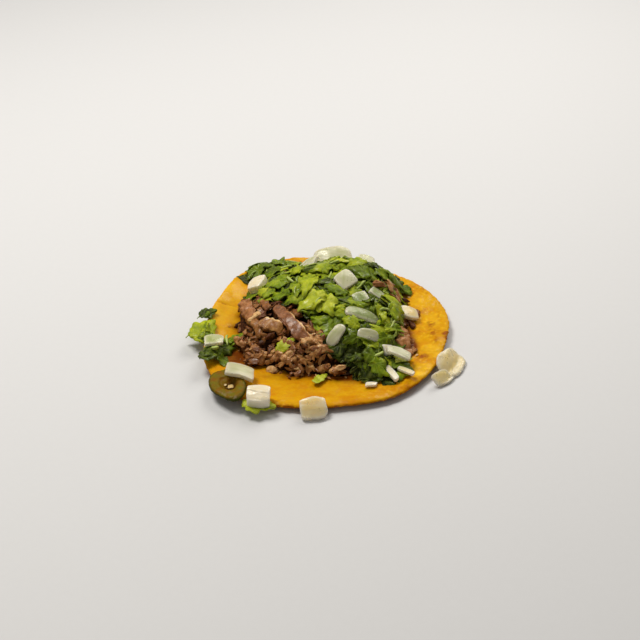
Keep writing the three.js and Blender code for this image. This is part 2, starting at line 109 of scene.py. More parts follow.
NODES = frame["nodes"]
ONION_NODES = sorted(name for name in NODES if "onion" in name)
LEAF_NODES = sorted(name for name in NODES if "leaf" in name)
CHILLI_NODE = "chilli_slice_1"


# ------------------------------------------------------------------ solids as surfaces


class Surface:
    """The outside of some solids or pieces, for finding what lies under or over a point."""

    def __init__(self, names):
        vertices, faces = [], []
        for name in names:
            mesh = (NODES.get(name) or bpy.data.objects[name]).data
            start = len(vertices)
            vertices += [vertex.co / MM for vertex in mesh.vertices]
            faces += [[start + i for i in face.vertices] for face in mesh.polygons]
        self.tree = BVHTree.FromPolygons(vertices, faces)
        self.low = [min(vertex[axis] for vertex in vertices) for axis in range(3)]
        self.high = [max(vertex[axis] for vertex in vertices) for axis in range(3)]

    def top(self, x, y):
        hit, _, _, _ = self.tree.ray_cast(Vector((x, y, FAR)), Vector((0, 0, -1)))
        return None if hit is None else hit.z

    def underside(self, x, y):
        hit, _, _, _ = self.tree.ray_cast(Vector((x, y, -FAR)), Vector((0, 0, 1)))
        return None if hit is None else hit.z

    def nearest(self, point):
        return self.tree.find_nearest(Vector(point))


def own_axes(name):
    """Centre, axes (long, middle, short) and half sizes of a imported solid."""
    points = np.array([vertex.co / MM for vertex in NODES[name].data.vertices])
    centre = (points.min(0) + points.max(0)) / 2
    _, _, axes = np.linalg.svd(points - points.mean(0), full_matrices=False)
    if axes[2][2] < 0:
        axes[2] *= -1
    axes[1] = np.cross(axes[2], axes[0])
    local = (points - centre) @ axes.T
    return centre, axes, (local.max(0) - local.min(0)) / 2


class Heights:
    """Heights over the table on a square grid: what a falling thing lands on."""

    step = 0.6
    reach = 78.0
    ticks = np.arange(-reach, reach, step)

    def __init__(self, cells):
        self.cells = cells

    @classmethod
    def flat(cls, level):
        return cls(np.full((len(cls.ticks), len(cls.ticks)), level))

    @classmethod
    def highest(cls, *layers, floor=-FAR):
        """The highest of some layers of cells, and of a flat floor."""
        return cls(np.maximum.reduce([*layers, cls.flat(floor).cells]))

    @classmethod
    def of(cls, names, empty=-FAR, below=False):
        """The top of some solids, or with `below` their underside, and `empty` where there is nothing."""
        surface, heights = Surface(names), cls.flat(empty)
        look = surface.underside if below else surface.top
        columns, rows = (
            np.nonzero((cls.ticks >= surface.low[axis]) & (cls.ticks <= surface.high[axis]))[0]
            for axis in (0, 1)
        )
        for i in columns:
            for j in rows:
                found = look(cls.ticks[i], cls.ticks[j])
                if found is not None:
                    heights.cells[i, j] = found
        return heights

    @classmethod
    def places(cls):
        """The x and y of every cell, row by row."""
        count = np.arange(len(cls.ticks))
        cells = np.stack(np.meshgrid(count, count, indexing="ij"), axis=-1).reshape(-1, 2)
        return cells * cls.step - cls.reach

    def cell(self, points):
        places = np.rint((np.asarray(points)[:, :2] + self.reach) / self.step).astype(int)
        return tuple(np.clip(places, 0, len(self.cells) - 2).T)

    def at(self, points):
        return self.cells[self.cell(points)]

    def over(self, x, y):
        return float(self.at([(x, y)])[0])

    def raise_to(self, points):
        """Adds the top of something that has landed."""
        i, j = self.cell(points)
        for across in (0, 1):
            for along in (0, 1):
                np.maximum.at(self.cells, (i + across, j + along), points[:, 2])

    def softened(self, times=24):
        """The broad shape, with each cell averaged with its neighbours again and again."""
        cells, size = self.cells, len(self.cells)
        for _ in range(times):
            padded = np.pad(cells, 1, mode="edge")
            shifted = [padded[i : i + size, j : j + size] for i in range(3) for j in range(3)]
            cells = sum(shifted) / len(shifted)
        return Heights(cells)

    def normal(self, x, y, span=1.8):
        west, east, south, north = self.at([(x - span, y), (x + span, y), (x, y - span), (x, y + span)])
        return Vector((west - east, south - north, 2 * span)).normalized()


LEAF_LOWEST = 0.2  # over the table
BIT_LOWEST = 0.3
LIMPNESS = 0.7  # share of the ground's bend that a leaf follows
FLATTENING = 0.75  # how much of a leaf's excess height is pressed out
COVER_GAP = 0.2  # between a leaf and what lies on it
PRESSED_IN = 0.04  # share of a bit that may reach into what lies on it


class Bed:
    """What a falling thing meets: the ground, its broad slope, what hangs over it and its lowest level."""

    def __init__(self, ground, slope, ceiling, floor=None):
        self.ground, self.slope, self.ceiling = ground, slope, ceiling
        self.floor = floor or Heights.flat(LEAF_LOWEST)

    def laid(self, shape, x, y, spin, tip=0.0, towards=0.0):
        """A thing turned to lie along the slope at x, y. It isn't at its height yet."""
        return turned(shape, frame_on(self.slope.normal(x, y), spin, tip, towards), (x, y, 0))

    def drop(self, points, highest, sink=82, covered=True):
        """Drops a stiff bit, a little bedded in, and says whether it found room under what covers it."""
        points[:, 2] += np.percentile(self.ground.at(points) - points[:, 2], sink)
        points[:, 2] -= max(0.0, points[:, 2].max() - highest)
        points[:, 2] = np.maximum(points[:, 2], BIT_LOWEST)
        if covered and np.mean(points[:, 2] > self.ceiling.at(points)) > PRESSED_IN:
            return False
        self.ground.raise_to(points)
        return True

    def drape(self, points, allowed, bedded=70, gap=0.15):
        """Lays a leaf down. It bends with the broad shape, not with each bump, and stays under its cover."""
        highest = self.slope.at(points) + allowed
        x, y = (points[:, :2] - points[:, :2].mean(0)).T
        terms = np.column_stack([np.ones(len(x)), x, y, x * x, x * y, y * y])
        bend = np.linalg.lstsq(terms, self.ground.at(points) - points[:, 2], rcond=None)[0]
        bend[3:] *= LIMPNESS
        points[:, 2] += terms @ bend
        points[:, 2] += np.percentile(self.ground.at(points) - points[:, 2], bedded) + gap
        points[:, 2] -= FLATTENING * np.clip(points[:, 2] - highest, 0, None)
        points[:, 2] = np.minimum(points[:, 2], self.ceiling.at(points) - COVER_GAP)
        points[:, 2] = np.maximum(points[:, 2], self.floor.at(points))
        self.ground.raise_to(points)


def unit(values):
    """Values held between 0 and 1."""
    return np.clip(values, 0, 1)


def wobble(*place):
    """Smooth noise of about -1 to 1 at one place."""
    return noise.noise(Vector(place))


def noise_at(points, size, seed, octaves=2):
    """Smooth noise of about -1 to 1 at points, with lumps about `size` across."""
    shift = Vector((17.3 * seed, 7.1 * seed, 3.7 * seed))
    return np.array([noise.fractal(Vector(point) / size + shift, 1.0, 2.0, octaves) for point in points])


def spot(points, x, y, across, along):
    """A soft spot over x, y in plan: 1 at its middle, fading out beyond its half sizes."""
    return np.exp(-(((points[:, 0] - x) / across) ** 2) - ((points[:, 1] - y) / along) ** 2)


def spots(points, table):
    """What a table of soft spots adds at points. Its rows are x, y, half sizes across and along, strength."""
    return sum(strength * spot(points, *where) for *where, strength in table)


def spots_at(x, y, table, start=0.0):
    """What the same kind of table adds at one place, on top of a start."""
    place = np.array([(x, y)])
    return sum((float(strength * spot(place, *where)[0]) for *where, strength in table), start)


# ------------------------------------------------------------------ meshes


def new_piece(name, vertices, faces, material, marks=None):
    """A smooth mesh object that rides on the taco. Marks are the attributes that its material reads."""
    mesh = bpy.data.meshes.new(name)
    mesh.from_pydata((np.asarray(vertices) * MM).tolist(), [], np.asarray(faces).tolist())
    mesh.update()
    mesh.shade_smooth()
    for key, values in (marks or {}).items():
        kind, field = ("FLOAT", "value") if np.ndim(values) == 1 else ("FLOAT_VECTOR", "vector")
        layer = mesh.attributes.new(key, kind, "POINT")
        layer.data.foreach_set(field, np.asarray(values, np.float32).ravel())
    mesh.materials.append(material)
    piece = bpy.data.objects.new(name, mesh)
    bpy.context.scene.collection.objects.link(piece)
    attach(piece, BODY)
    return piece


def threes(collection, field, kind=float):
    """A field of all elements of a mesh, three values a row."""
    values = np.zeros(len(collection) * 3, kind)
    collection.foreach_get(field, values)
    return values.reshape(-1, 3)


def remeshed(name, voxel, smoothing):
    """Vertices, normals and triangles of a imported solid, remeshed to an even grain and softened."""
    copy = bpy.data.objects.new("remesh", NODES[name].data.copy())
    bpy.context.scene.collection.objects.link(copy)
    remesh = copy.modifiers.new("even", "REMESH")
    remesh.mode = "VOXEL"
    remesh.voxel_size = voxel * MM
    soften = copy.modifiers.new("soften", "SMOOTH")
    soften.factor = 0.5
    soften.iterations = smoothing
    copy.modifiers.new("triangles", "TRIANGULATE")
    ready = copy.evaluated_get(bpy.context.evaluated_depsgraph_get()).to_mesh()
    vertices, normals = threes(ready.vertices, "co") / MM, threes(ready.vertices, "normal")
    faces = threes(ready.polygons, "vertices", int)
    old = copy.data
    bpy.data.objects.remove(copy)
    bpy.data.meshes.remove(old)
    return vertices, normals, faces


CORE_GRAIN = 1.1
CORE_LUMPS = 0.5
CORE_LOWEST = 3.0


def press_core(name, slope, depth, material, hollows=(), **marks):
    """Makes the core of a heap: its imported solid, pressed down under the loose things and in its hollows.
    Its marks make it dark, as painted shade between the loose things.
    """
    points, _, faces = remeshed(name, CORE_GRAIN, smoothing=2)
    cap = slope.at(points) - depth + CORE_LUMPS * noise_at(points, 2.6, 5)
    cap -= spots(points, hollows)
    points[:, 2] = np.minimum(points[:, 2], np.maximum(cap, CORE_LOWEST))
    marks = {mark: np.full(len(points), value) for mark, value in marks.items()}
    core = new_piece(f"{name}_core", points, faces, material, {"grain": points} | marks)
    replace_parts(core, name)


class Pile:
    """Many small things gathered into one mesh, each with its own grain coordinates and marks."""

    def __init__(self, *marks):
        self.vertices, self.faces, self.grain, self.count = [], [], [], 0
        self.marks = {mark: [] for mark in marks}

    def add(self, vertices, faces, grain, **marks):
        """Adds one thing. Its grain is where each vertex lies in the thing's own axes."""
        self.vertices.append(vertices)
        self.faces.append(np.asarray(faces) + self.count)
        self.grain.append(grain)
        for mark, values in self.marks.items():
            values.append(np.broadcast_to(marks[mark], len(vertices)))
        self.count += len(vertices)

    def piece(self, name, material, slot):
        vertices, faces = np.concatenate(self.vertices), np.concatenate(self.faces)
        marks = {mark: np.concatenate(values) for mark, values in self.marks.items()}
        marks["grain"] = np.concatenate(self.grain)
        return new_piece(name, vertices, faces, material, marks)


def frame_on(normal, spin, tip=0.0, towards=0.0):
    """A turn that lays a thing on a surface: spun about the normal, then tipped off it, in radians."""
    lean = Vector((0, 0, 1)).rotation_difference(normal).to_matrix()
    axis = Vector((-math.sin(towards), math.cos(towards), 0))
    return lean @ Matrix.Rotation(tip, 3, axis) @ Matrix.Rotation(spin, 3, "Z")


def turned(vertices, turn, centre):
    """Vertices carried from a thing's own axes to where it lies."""
    return np.asarray(vertices) @ np.array(turn).T + np.array(centre)


JITTER = 0.35  # share of the spacing


def scatter_places(name, spacing, draw, margin=2.0):
    """A jittered honeycomb of x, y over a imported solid."""
    low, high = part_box(name)
    low_x, low_y = (low[axis] / MM - margin for axis in (0, 1))
    high_x, high_y = (high[axis] / MM + margin for axis in (0, 1))
    row_step = spacing * math.sqrt(0.75)
    for row in range(int((high_y - low_y) / row_step) + 1):
        for column in range(int((high_x - low_x) / spacing) + 1):
            x = low_x + (column + 0.5 * (row % 2) + draw.uniform(-JITTER, JITTER)) * spacing
            y = low_y + row * row_step + draw.uniform(-JITTER, JITTER) * spacing
            yield x, y


def closed_tube(rings):
    """Vertices and triangles of a closed tube through rings of equal length."""
    steps, sides = rings.shape[:2]
    vertices = np.concatenate([rings.reshape(-1, 3), rings[[0, -1]].mean(axis=1)])
    first, last = steps * sides, (steps - 1) * sides
    faces = []
    for k in range(sides):
        after = (k + 1) % sides
        faces += [(first, after, k), (first + 1, last + k, last + after)]
        for i in range(0, last, sides):
            faces += [(i + k, i + after, i + after + sides), (i + k, i + after + sides, i + k + sides)]
    return vertices, np.array(faces)


# ------------------------------------------------------------------ material graphs


class Finish:
    """A material whose one shader is fed by a graph of nodes."""

    def __init__(self, name, glow=None, **constants):
        self.material = bpy.data.materials.new(name)
        self.material.use_nodes = True
        self.tree = self.material.node_tree
        self.shader = self.tree.nodes["Principled BSDF"]
        if glow is not None:
            depth, radius = glow
            constants |= {"Subsurface_Scale": depth * MM, "Subsurface_Radius": radius}
        for socket, value in constants.items():
            self.shader.inputs[socket.replace("_", " ")].default_value = value

    def node(self, kind, inputs=None, **settings):
        made = self.tree.nodes.new(kind)
        for key, value in settings.items():
            setattr(made, key, value)
        for key, value in (inputs or {}).items():
            self.feed(made.inputs[key], value)
        return made

    def feed(self, socket, value):
        if isinstance(value, bpy.types.NodeSocket):
            self.tree.links.new(value, socket)
        elif socket.type == "RGBA" and not isinstance(value, (int, float)):
            socket.default_value = (*tuple(value)[:3], 1)
        else:
            socket.default_value = value

    @cached_property
    def place(self):
        """Where a point lies on the taco, in metres."""
        return self.node("ShaderNodeTexCoord").outputs["Object"]

    def mark(self, name, output="Fac"):
        return self.node("ShaderNodeAttribute", attribute_name=name).outputs[output]

    def scaled(self, vector, factors):
        return self.node("ShaderNodeMapping", {"Vector": vector, "Scale": factors}).outputs[0]

    def grain(self, scale, detail=3.0, roughness=0.55, vector=None):
        """Noise with lumps of 1 / scale metres, or by another vector's measure."""
        inputs = {"Vector": vector or self.place, "Scale": scale, "Detail": detail, "Roughness": roughness}
        return self.node("ShaderNodeTexNoise", inputs).outputs["Fac"]

    def cells(self, scale, feature, vector=None):
        inputs = {"Vector": vector or self.place, "Scale": scale}
        return self.node("ShaderNodeTexVoronoi", inputs, feature=feature).outputs["Distance"]

    def ranged(self, value, low, high, to_low=0.0, to_high=1.0):
        inputs = {"Value": value, "From Min": low, "From Max": high, "To Min": to_low, "To Max": to_high}
        return self.node("ShaderNodeMapRange", inputs).outputs["Result"]

    def math(self, operation, first, second):
        made = self.node("ShaderNodeMath", operation=operation)
        self.feed(made.inputs[0], first)
        self.feed(made.inputs[1], second)
        return made.outputs[0]

    def plus(self, first, second):
        return self.math("ADD", first, second)

    def times(self, first, second):
        return self.math("MULTIPLY", first, second)

    def mixed(self, factor, first, second):
        made = self.node("ShaderNodeMix", data_type="RGBA")
        self.feed(made.inputs["Factor"], factor)
        self.feed(made.inputs["A"], first)
        self.feed(made.inputs["B"], second)
        return made.outputs["Result"]

    def layered(self, colour, *layers):
        """A colour with others mixed over it, each as far as its own factor says."""
        for factor, over in layers:
            colour = self.mixed(factor, colour, over)
        return colour

    def ramp(self, value, *stops):
        made = self.node("ShaderNodeValToRGB", {"Fac": value})
        elements = made.color_ramp.elements
        for _ in stops[2:]:
            elements.new(0.5)
        for element, (position, colour) in zip(elements, stops):
            element.position = position
            element.color = (*tuple(colour)[:3], 1)
        return made.outputs["Color"]

    def bump(self, height, distance, strength=1.0, below=None):
        inputs = {"Height": height, "Distance": distance * MM, "Strength": strength}
        if below is not None:
            inputs["Normal"] = below
        return self.node("ShaderNodeBump", inputs).outputs["Normal"]

    def set(self, **inputs):
        for key, value in inputs.items():
            self.feed(self.shader.inputs[key.replace("_", " ")], value)
        return self.material


def linear(red, green, blue):
    """The linear colour of an sRGB colour given as 0 to 255."""

    def channel(value):
        share = value / 255
        return share / 12.92 if share <= 0.04045 else ((share + 0.055) / 1.055) ** 2.4

    return tuple(channel(value) for value in (red, green, blue))


def colour_property(name, description, red, green, blue):
    default = linear(red, green, blue)
    return FloatVectorProperty(
        name=name, description=description, subtype="COLOR", size=3, min=0, max=1, default=default
    )


def millimetres(name, description, default):
    return FloatProperty(name=name, description=description, default=default * MM, unit="LENGTH")


# ------------------------------------------------------------------ settings


class TortillaSettings(bpy.types.PropertyGroup):
    grain: millimetres("Grain", "Edge length of the tortilla's mesh", 0.7)
    blister: millimetres("Blister height", "How far griddle blisters stand up", 0.8)
    dough: colour_property("Dough", "Oiled maize dough", 207, 154, 2)
    deep: colour_property("Deep dough", "Dough where oil has soaked in", 194, 126, 0)
    # Toasted also paints the shade in the lip's crease and on the rim's side at the front.
    toasted: colour_property("Toasted", "Where the griddle browned it", 146, 72, 8)
    # Juice also paints the shade at the foot of the heap and in some of its spots.
    stain: colour_property("Juice", "Meat juice soaked into the dough", 104, 44, 6)
    # Pale dough paints the highlight on the raised left lip and on the tops of the bumps.
    pale: colour_property("Pale dough", "Raised dough that stayed pale", 240, 196, 44)


class BeefSettings(bpy.types.PropertyGroup):
    coarse: millimetres("Coarse spacing", "Distance between the larger chopped bits", 4.0)
    fine: millimetres("Fine spacing", "Distance between the smaller chopped bits", 2.15)
    depth: millimetres("Depth", "Thickness of the loose bits over the core", 2.6)
    # Fat also paints the highlight along one edge of each strip.
    fat: colour_property("Fat", "Fat and the lightest edges", 222, 184, 126)
    light: colour_property("Light meat", "Lean cut faces", 172, 122, 66)
    middle: colour_property("Meat", "Cooked meat", 128, 78, 30)
    seared: colour_property("Seared meat", "Browned meat", 92, 48, 14)
    # The darkest meat also paints the shade of the core and the hollows.
    dark: colour_property("Wet dark meat", "Meat deep in the heap", 26, 10, 2)
    blush: colour_property("Pink meat", "Meat that is pinker inside", 172, 108, 76)


class CorianderSettings(bpy.types.PropertyGroup):
    spacing: millimetres("Spacing", "Distance between chopped leaves", 5.2)
    depth: millimetres("Depth", "Thickness of the loose leaves over the core", 3.0)
    thickness: millimetres("Leaf thickness", "Thickness of one leaf", 0.26)
    young: colour_property("Young leaf", "The palest yellow-green leaves", 198, 204, 84)
    bright: colour_property("Bright leaf", "Bright yellow-green leaves", 162, 172, 26)
    middle: colour_property("Leaf", "Ordinary leaves", 102, 124, 6)
    # Old leaf also paints the shade of the core, of the lower layer and of the dark places between the leaves.
    dark: colour_property("Old leaf", "Dark wet leaves", 34, 44, 0)
    pale: colour_property("Leaf underside", "Pale undersides", 168, 180, 88)
    stem: colour_property("Stem", "Stalks", 170, 186, 92)


class OnionSettings(bpy.types.PropertyGroup):
    thinning: millimetres("Thinning", "How much thinner a piece is than its solid", 0.3)
    flesh: colour_property("Onion", "White flesh", 238, 231, 214)
    tinge: colour_property("Green onion flesh", "Flesh tinged green", 172, 184, 104)
    cream: colour_property("Cream onion flesh", "Flesh near the outer layers", 224, 202, 122)
    # Painted light: the yellow of the tortilla's light shining through the pieces that lie on it.
    shine_through: colour_property("Oily onion flesh", "Flesh tinged by oil", 242, 214, 120)
    leafy: colour_property("Leafy onion flesh", "Green flesh from the onion's top", 142, 164, 70)


class ChilliSettings(bpy.types.PropertyGroup):
    grain: millimetres("Grain", "Edge length of the chilli's mesh", 0.4)
    skin: colour_property("Skin", "Pickled green skin", 56, 60, 3)
    flesh: colour_property("Flesh", "Cut flesh", 106, 96, 4)
    brown: colour_property("Brown flesh", "Flesh that pickling turned brown", 122, 80, 6)
    hollow: colour_property("Seed hollow", "Dark hollow round the seeds", 74, 44, 4)
    seed: colour_property("Seed", "Pale seed", 226, 196, 136)


class StageSettings(bpy.types.PropertyGroup):
    lens: FloatProperty(name="Lens", description="Camera focal length in mm", default=65)
    elevation: FloatProperty(
        name="Elevation",
        description="Camera angle above the table",
        default=math.radians(35.4),
        subtype="ANGLE",
    )
    distance: millimetres("Distance", "Camera to the middle of the picture", 618)
    aim: FloatVectorProperty(
        name="Aim", description="Middle of the picture", default=(-0.0018, 0.008, 0.003), unit="LENGTH"
    )
    floor: colour_property("Floor", "Plain pale floor", 206, 208, 212)
    sky: FloatProperty(name="Fill", description="Strength of the even light", default=0.28)
    key: FloatProperty(name="Key light", description="Power of the main light", default=6.6, unit="POWER")
    rim: FloatProperty(name="Back light", description="Power of the light behind", default=3.6, unit="POWER")


class TacoSettings(bpy.types.PropertyGroup):
    tortilla: PointerProperty(type=TortillaSettings)
    beef: PointerProperty(type=BeefSettings)
    coriander: PointerProperty(type=CorianderSettings)
    onion: PointerProperty(type=OnionSettings)
    chilli: PointerProperty(type=ChilliSettings)
    stage: PointerProperty(type=StageSettings)
    seed: IntProperty(name="Seed", description="Start of every random draw", default=11)


def settings():
    return bpy.context.scene.taco


# ------------------------------------------------------------------ tortilla


# Soft spots on the tortilla: x, y, half sizes across and along, strength. Here meat juice and painted shade
# darken it, in front of the heap and beside the right roll,
JUICE_AND_SHADE_SPOTS = [(-46, -25, 11, 5.5, 1.4), (12, -42, 11, 4, 0.8), (46, -13, 3, 9, 0.7), (-20, -41, 16, 3, 0.45)]
# here the griddle has browned it,
GRIDDLE_SPOTS = [
    (51, -25, 2.6, 2, 1.3),
    (65, -8, 1.6, 3, 1.2),
    (39, -59, 1.8, 1.6, 1.3),
    (57, -2, 4, 8, 0.5),
]
# and here painted highlight lightens it: the raised left lip, and bumps on the right.
PAINTED_HIGHLIGHT_SPOTS = [
    (-57, 12, 8, 24, 0.5),
    (-50, 34, 9, 9, 0.4),
    (48, -40, 3, 2.2, 1.0),
    (53, -34, 4, 3, 0.6),
    (55, -18, 4, 4, 0.5),
    (58, 6, 4, 8, 0.35),
    (53, 26, 5, 5, 0.4),
    (60, -25, 4, 4, 0.6),
]
LIP_CREASE = (-54, 18.6, 6.5, 0.6)
RIM_REACH = 60.5  # from the middle of the tortilla to where its rim begins
JUICE_AND_SHADE_REACH = 2.6  # how far the juice and the painted shade reach out round the foot of the heap
FACES_UP = 0.3  # a normal's z above which the dough takes juice and painted shade


def tortilla_finish(look):
    """Oily maize dough: mottled yellow, toasted on the blisters and the rim, stained by the meat's juice, with
    painted shade round the heap and in the lip's crease, and painted highlight on the raised dough.
    """
    finish = Finish(
        "tortilla_dough", glow=(1.0, (1.0, 0.4, 0.05)), IOR=1.45, Subsurface_Weight=0.12,
        Specular_IOR_Level=0.05, Coat_Roughness=0.2, Coat_IOR=1.4
    )
    mottle = finish.grain(70, 5, 0.62, finish.scaled(finish.place, (1, 1.7, 1)))
    fine, pores = finish.grain(850, 4, 0.7), finish.cells(700, "SMOOTH_F1")
    toast = finish.times(finish.mark("toast"), finish.ranged(finish.grain(420, 4), 0.3, 0.6))
    stain = finish.times(finish.mark("stain"), finish.ranged(mottle, 0.3, 0.6, 0.7, 1.15))
    colour = finish.layered(
        look.dough,
        (finish.ranged(mottle, 0.4, 0.64), look.deep),
        (finish.ranged(fine, 0.45, 0.75, 0.0, 0.4), look.deep),
        # painted highlight on the raised dough
        (finish.times(finish.mark("pale"), 0.8), look.pale),
        (finish.ranged(toast, 0.12, 0.8, 0, 0.95), look.toasted),
        # meat juice, and painted shade at the foot of the heap and beside the right roll
        (finish.ranged(stain, 0.1, 0.9, 0, 0.95), look.stain),
    )
    normal = finish.bump(finish.plus(finish.times(fine, 0.6), finish.times(pores, 0.7)), 0.18, 0.8)
    rough = finish.ranged(finish.grain(160, 4), 0.35, 0.7, 0.35, 0.6)
    oil = finish.ranged(finish.grain(110), 0.5, 0.62, 0.0, 0.3)
    return finish.set(Base_Color=colour, Roughness=rough, Normal=normal, Coat_Weight=oil)


class Dough:
    """The tortilla's relief and marks, worked out at each point of its mesh."""

    def __init__(self, points, normals):
        self.points, self.normals = points, normals
        flat = points * (1, 1, 0.2)
        self.up = unit(normals[:, 2])
        self.reach = np.hypot(points[:, 0], points[:, 1])
        self.right = unit((points[:, 0] - 10) / 40)
        self.blister = unit(noise_at(flat, 5.5, 3) - 0.1) * (0.35 + 0.65 * self.right)
        self.patch = unit(noise_at(flat, 16, 13) * 1.6 + 0.1)
        self.pits = noise_at(flat, 1.9, 5)
        self.waves = noise_at(flat, 24, 8, 1)
        self.crease = spot(points, *LIP_CREASE)

    def raised(self, blister):
        """The points with blisters, pits, waves and a ragged rim."""
        pits = (0.06 + 0.16 * self.right) * self.pits
        lift = self.up * (self.blister * blister / MM + pits + 0.3 * self.waves - 0.5 * self.crease)
        ragged = unit((self.reach - 58) / 8) * 0.3 * noise_at(self.points, 3.0, 21)
        moved = self.points + self.normals * ragged[:, None]
        moved[:, 2] = np.maximum(moved[:, 2] + lift, 0)
        return moved

    def toast(self):
        """Brown on the blisters, the rim and its side, in patches beneath and in spots. Painted shade darkens
        the crease, and the rim's side more towards the front.
        """
        patch, rim = self.patch, unit((self.reach - RIM_REACH) / 5)
        front = unit(-self.points[:, 1] / 50)
        beneath = unit(-self.normals[:, 2] * 1.5)
        # the rim's side: browned, with painted shade growing towards the front
        side = rim * (1 - self.up) * (0.3 + 0.7 * front)
        toast = self.blister * 1.1 * patch + 0.35 * rim * patch + side
        # painted shade: the crease darkened
        toast = toast + beneath * (0.2 + 0.6 * patch) + 0.7 * self.crease
        return unit(toast + spots(self.points, GRIDDLE_SPOTS))

    def stain(self):
        """Meat juice and painted shade close round the foot of the heap, and in their own spots."""
        beef, facing_up = Surface(["beef"]), self.up > FACES_UP
        stain = np.zeros(len(self.points))
        for i in np.nonzero(facing_up)[0]:
            stain[i] = 0.75 * math.exp(-((beef.nearest(self.points[i])[3] / JUICE_AND_SHADE_REACH) ** 2))
        return unit(stain + spots(self.points, JUICE_AND_SHADE_SPOTS) * facing_up)

    def pale(self):
        """Painted highlight: pale in its own spots and on the up-facing tops between the pits."""
        # painted highlight on the up-facing tops of the bumps
        tops = unit(self.pits * 1.4 - 0.2) * (0.15 + 0.55 * self.right) * self.up
        return unit(spots(self.points, PAINTED_HIGHLIGHT_SPOTS) * self.up + tops)


class TACO_OT_tortilla(bpy.types.Operator):
    """Make the soft tortilla with its blisters, its toasted rim, the meat's juice, and painted shade and
    highlights
    """

    bl_idname = "taco.tortilla"
    bl_label = "Tortilla"

    def execute(self, context):
        look = settings().tortilla
        points, normals, faces = remeshed("tortilla", look.grain / MM, smoothing=3)
        dough = Dough(points, normals)
        # pale is painted highlight on the raised dough
        marks = {"toast": dough.toast(), "stain": dough.stain(), "pale": dough.pale()}
        moved = dough.raised(look.blister)
        piece = new_piece("soft_tortilla", moved, faces, tortilla_finish(look), marks)
        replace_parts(piece, "tortilla")
        return {"FINISHED"}


# ------------------------------------------------------------------ chopped beef


def block_shell(cells):
    """Vertices and triangles of a cube from -1 to 1, its sides cut into so many cells along x, y and z."""
    index, faces = {}, []

    def corner(point):
        return index.setdefault(tuple(round(value, 5) for value in point), len(index))

    for axis in range(3):
        first, second = (axis + 1) % 3, (axis + 2) % 3
        for side in (-1, 1):
            for i in range(cells[first]):
                for j in range(cells[second]):
                    quad = []
                    for a, b in [(i, j), (i + 1, j), (i + 1, j + 1), (i, j + 1)][::side]:
                        point = [float(side)] * 3
                        point[first] = 2 * a / cells[first] - 1
                        point[second] = 2 * b / cells[second] - 1
                        quad.append(corner(point))
                    faces += [(quad[0], quad[1], quad[2]), (quad[0], quad[2], quad[3])]
    return np.array(list(index)), np.array(faces)


def meat_bit(draw, cells, torn=1.1, cuts=9):
    """A chopped bit of meat about 2 across in its own axes: knife-cut faces, torn ends, fibres along x."""
    points, faces = block_shell(cells)
    away = np.linalg.norm(points, axis=1, keepdims=True)
    points = 0.66 * points + 0.4 * points / away
    for _ in range(cuts):
        knife = np.array([draw.gauss(0, 1) for _ in range(3)])
        knife /= np.linalg.norm(knife)
        beyond = points @ knife - draw.uniform(0.4, 0.85)
        points = points - np.outer(np.clip(beyond, 0, None), knife)
    seed = draw.uniform(0, 50)
    x = points[:, 0]
    ragged = unit(np.abs(x) - 0.45) * np.sign(x) * torn * noise_at(points * (0, 1, 1), 0.4, seed + 8, 1)
    bend = draw.gauss(0, 0.25) * (x * x - 0.3)
    points = points + np.column_stack([ragged, bend, 0.6 * bend])
    outward = points / np.linalg.norm(points, axis=1, keepdims=True)
    lumps = noise_at(points, 0.9, seed, 1) * 0.22
    fibres = noise_at(points * (0.2, 1, 1), 0.4, seed + 3, 1) * 0.08
    return points + outward * (lumps + fibres)[:, None], faces


def ragged_strip(draw, length, width, thickness, bend=0.15, twist=0.3, steps=26, sides=28, rough=1.0):
    """A strip lying along x, round like a roll or flat like a slice, with ragged ends."""
    seed = draw.uniform(0, 50)
    square = 0.28 if width > 1.9 * thickness else 0.6
    rings = np.zeros((steps, sides, 3))
    for i, t in enumerate(np.linspace(-1, 1, steps)):
        taper = (1 - abs(t) ** 5) ** 0.5 * (1 + 0.25 * wobble(t * 2.6, seed, 0))
        middle_y = bend * length * 0.5 * (t * t - 0.4) + 0.06 * length * wobble(t, seed, 4)
        middle_z = 0.05 * length * (0.5 - t * t) + 0.04 * length * wobble(t, seed, 9)
        turn = twist * t
        for k in range(sides):
            angle = 2 * math.pi * k / sides
            c, s = math.cos(angle), math.sin(angle)
            groove = 1 + 0.3 * wobble(t * length / 5, 1.2 * c + seed, 1.2 * s)
            groove += 0.3 * rough * wobble(t * length / 6, 3.2 * c, 3.2 * s + seed)
            y = math.copysign(abs(c) ** square, c) * width / 2 * max(taper, 0.06) * groove
            z = math.copysign(abs(s) ** square, s) * thickness / 2 * max(taper, 0.1) * groove
            torn = (abs(t) > 0.8) * t * 0.7 * rough * wobble(3 * c, 3 * s, seed + t)
            across = middle_y + y * math.cos(turn) - z * math.sin(turn)
            rings[i, k] = (t * length / 2 + torn, across, middle_z + y * math.sin(turn) + z * math.cos(turn))
    return closed_tube(rings)


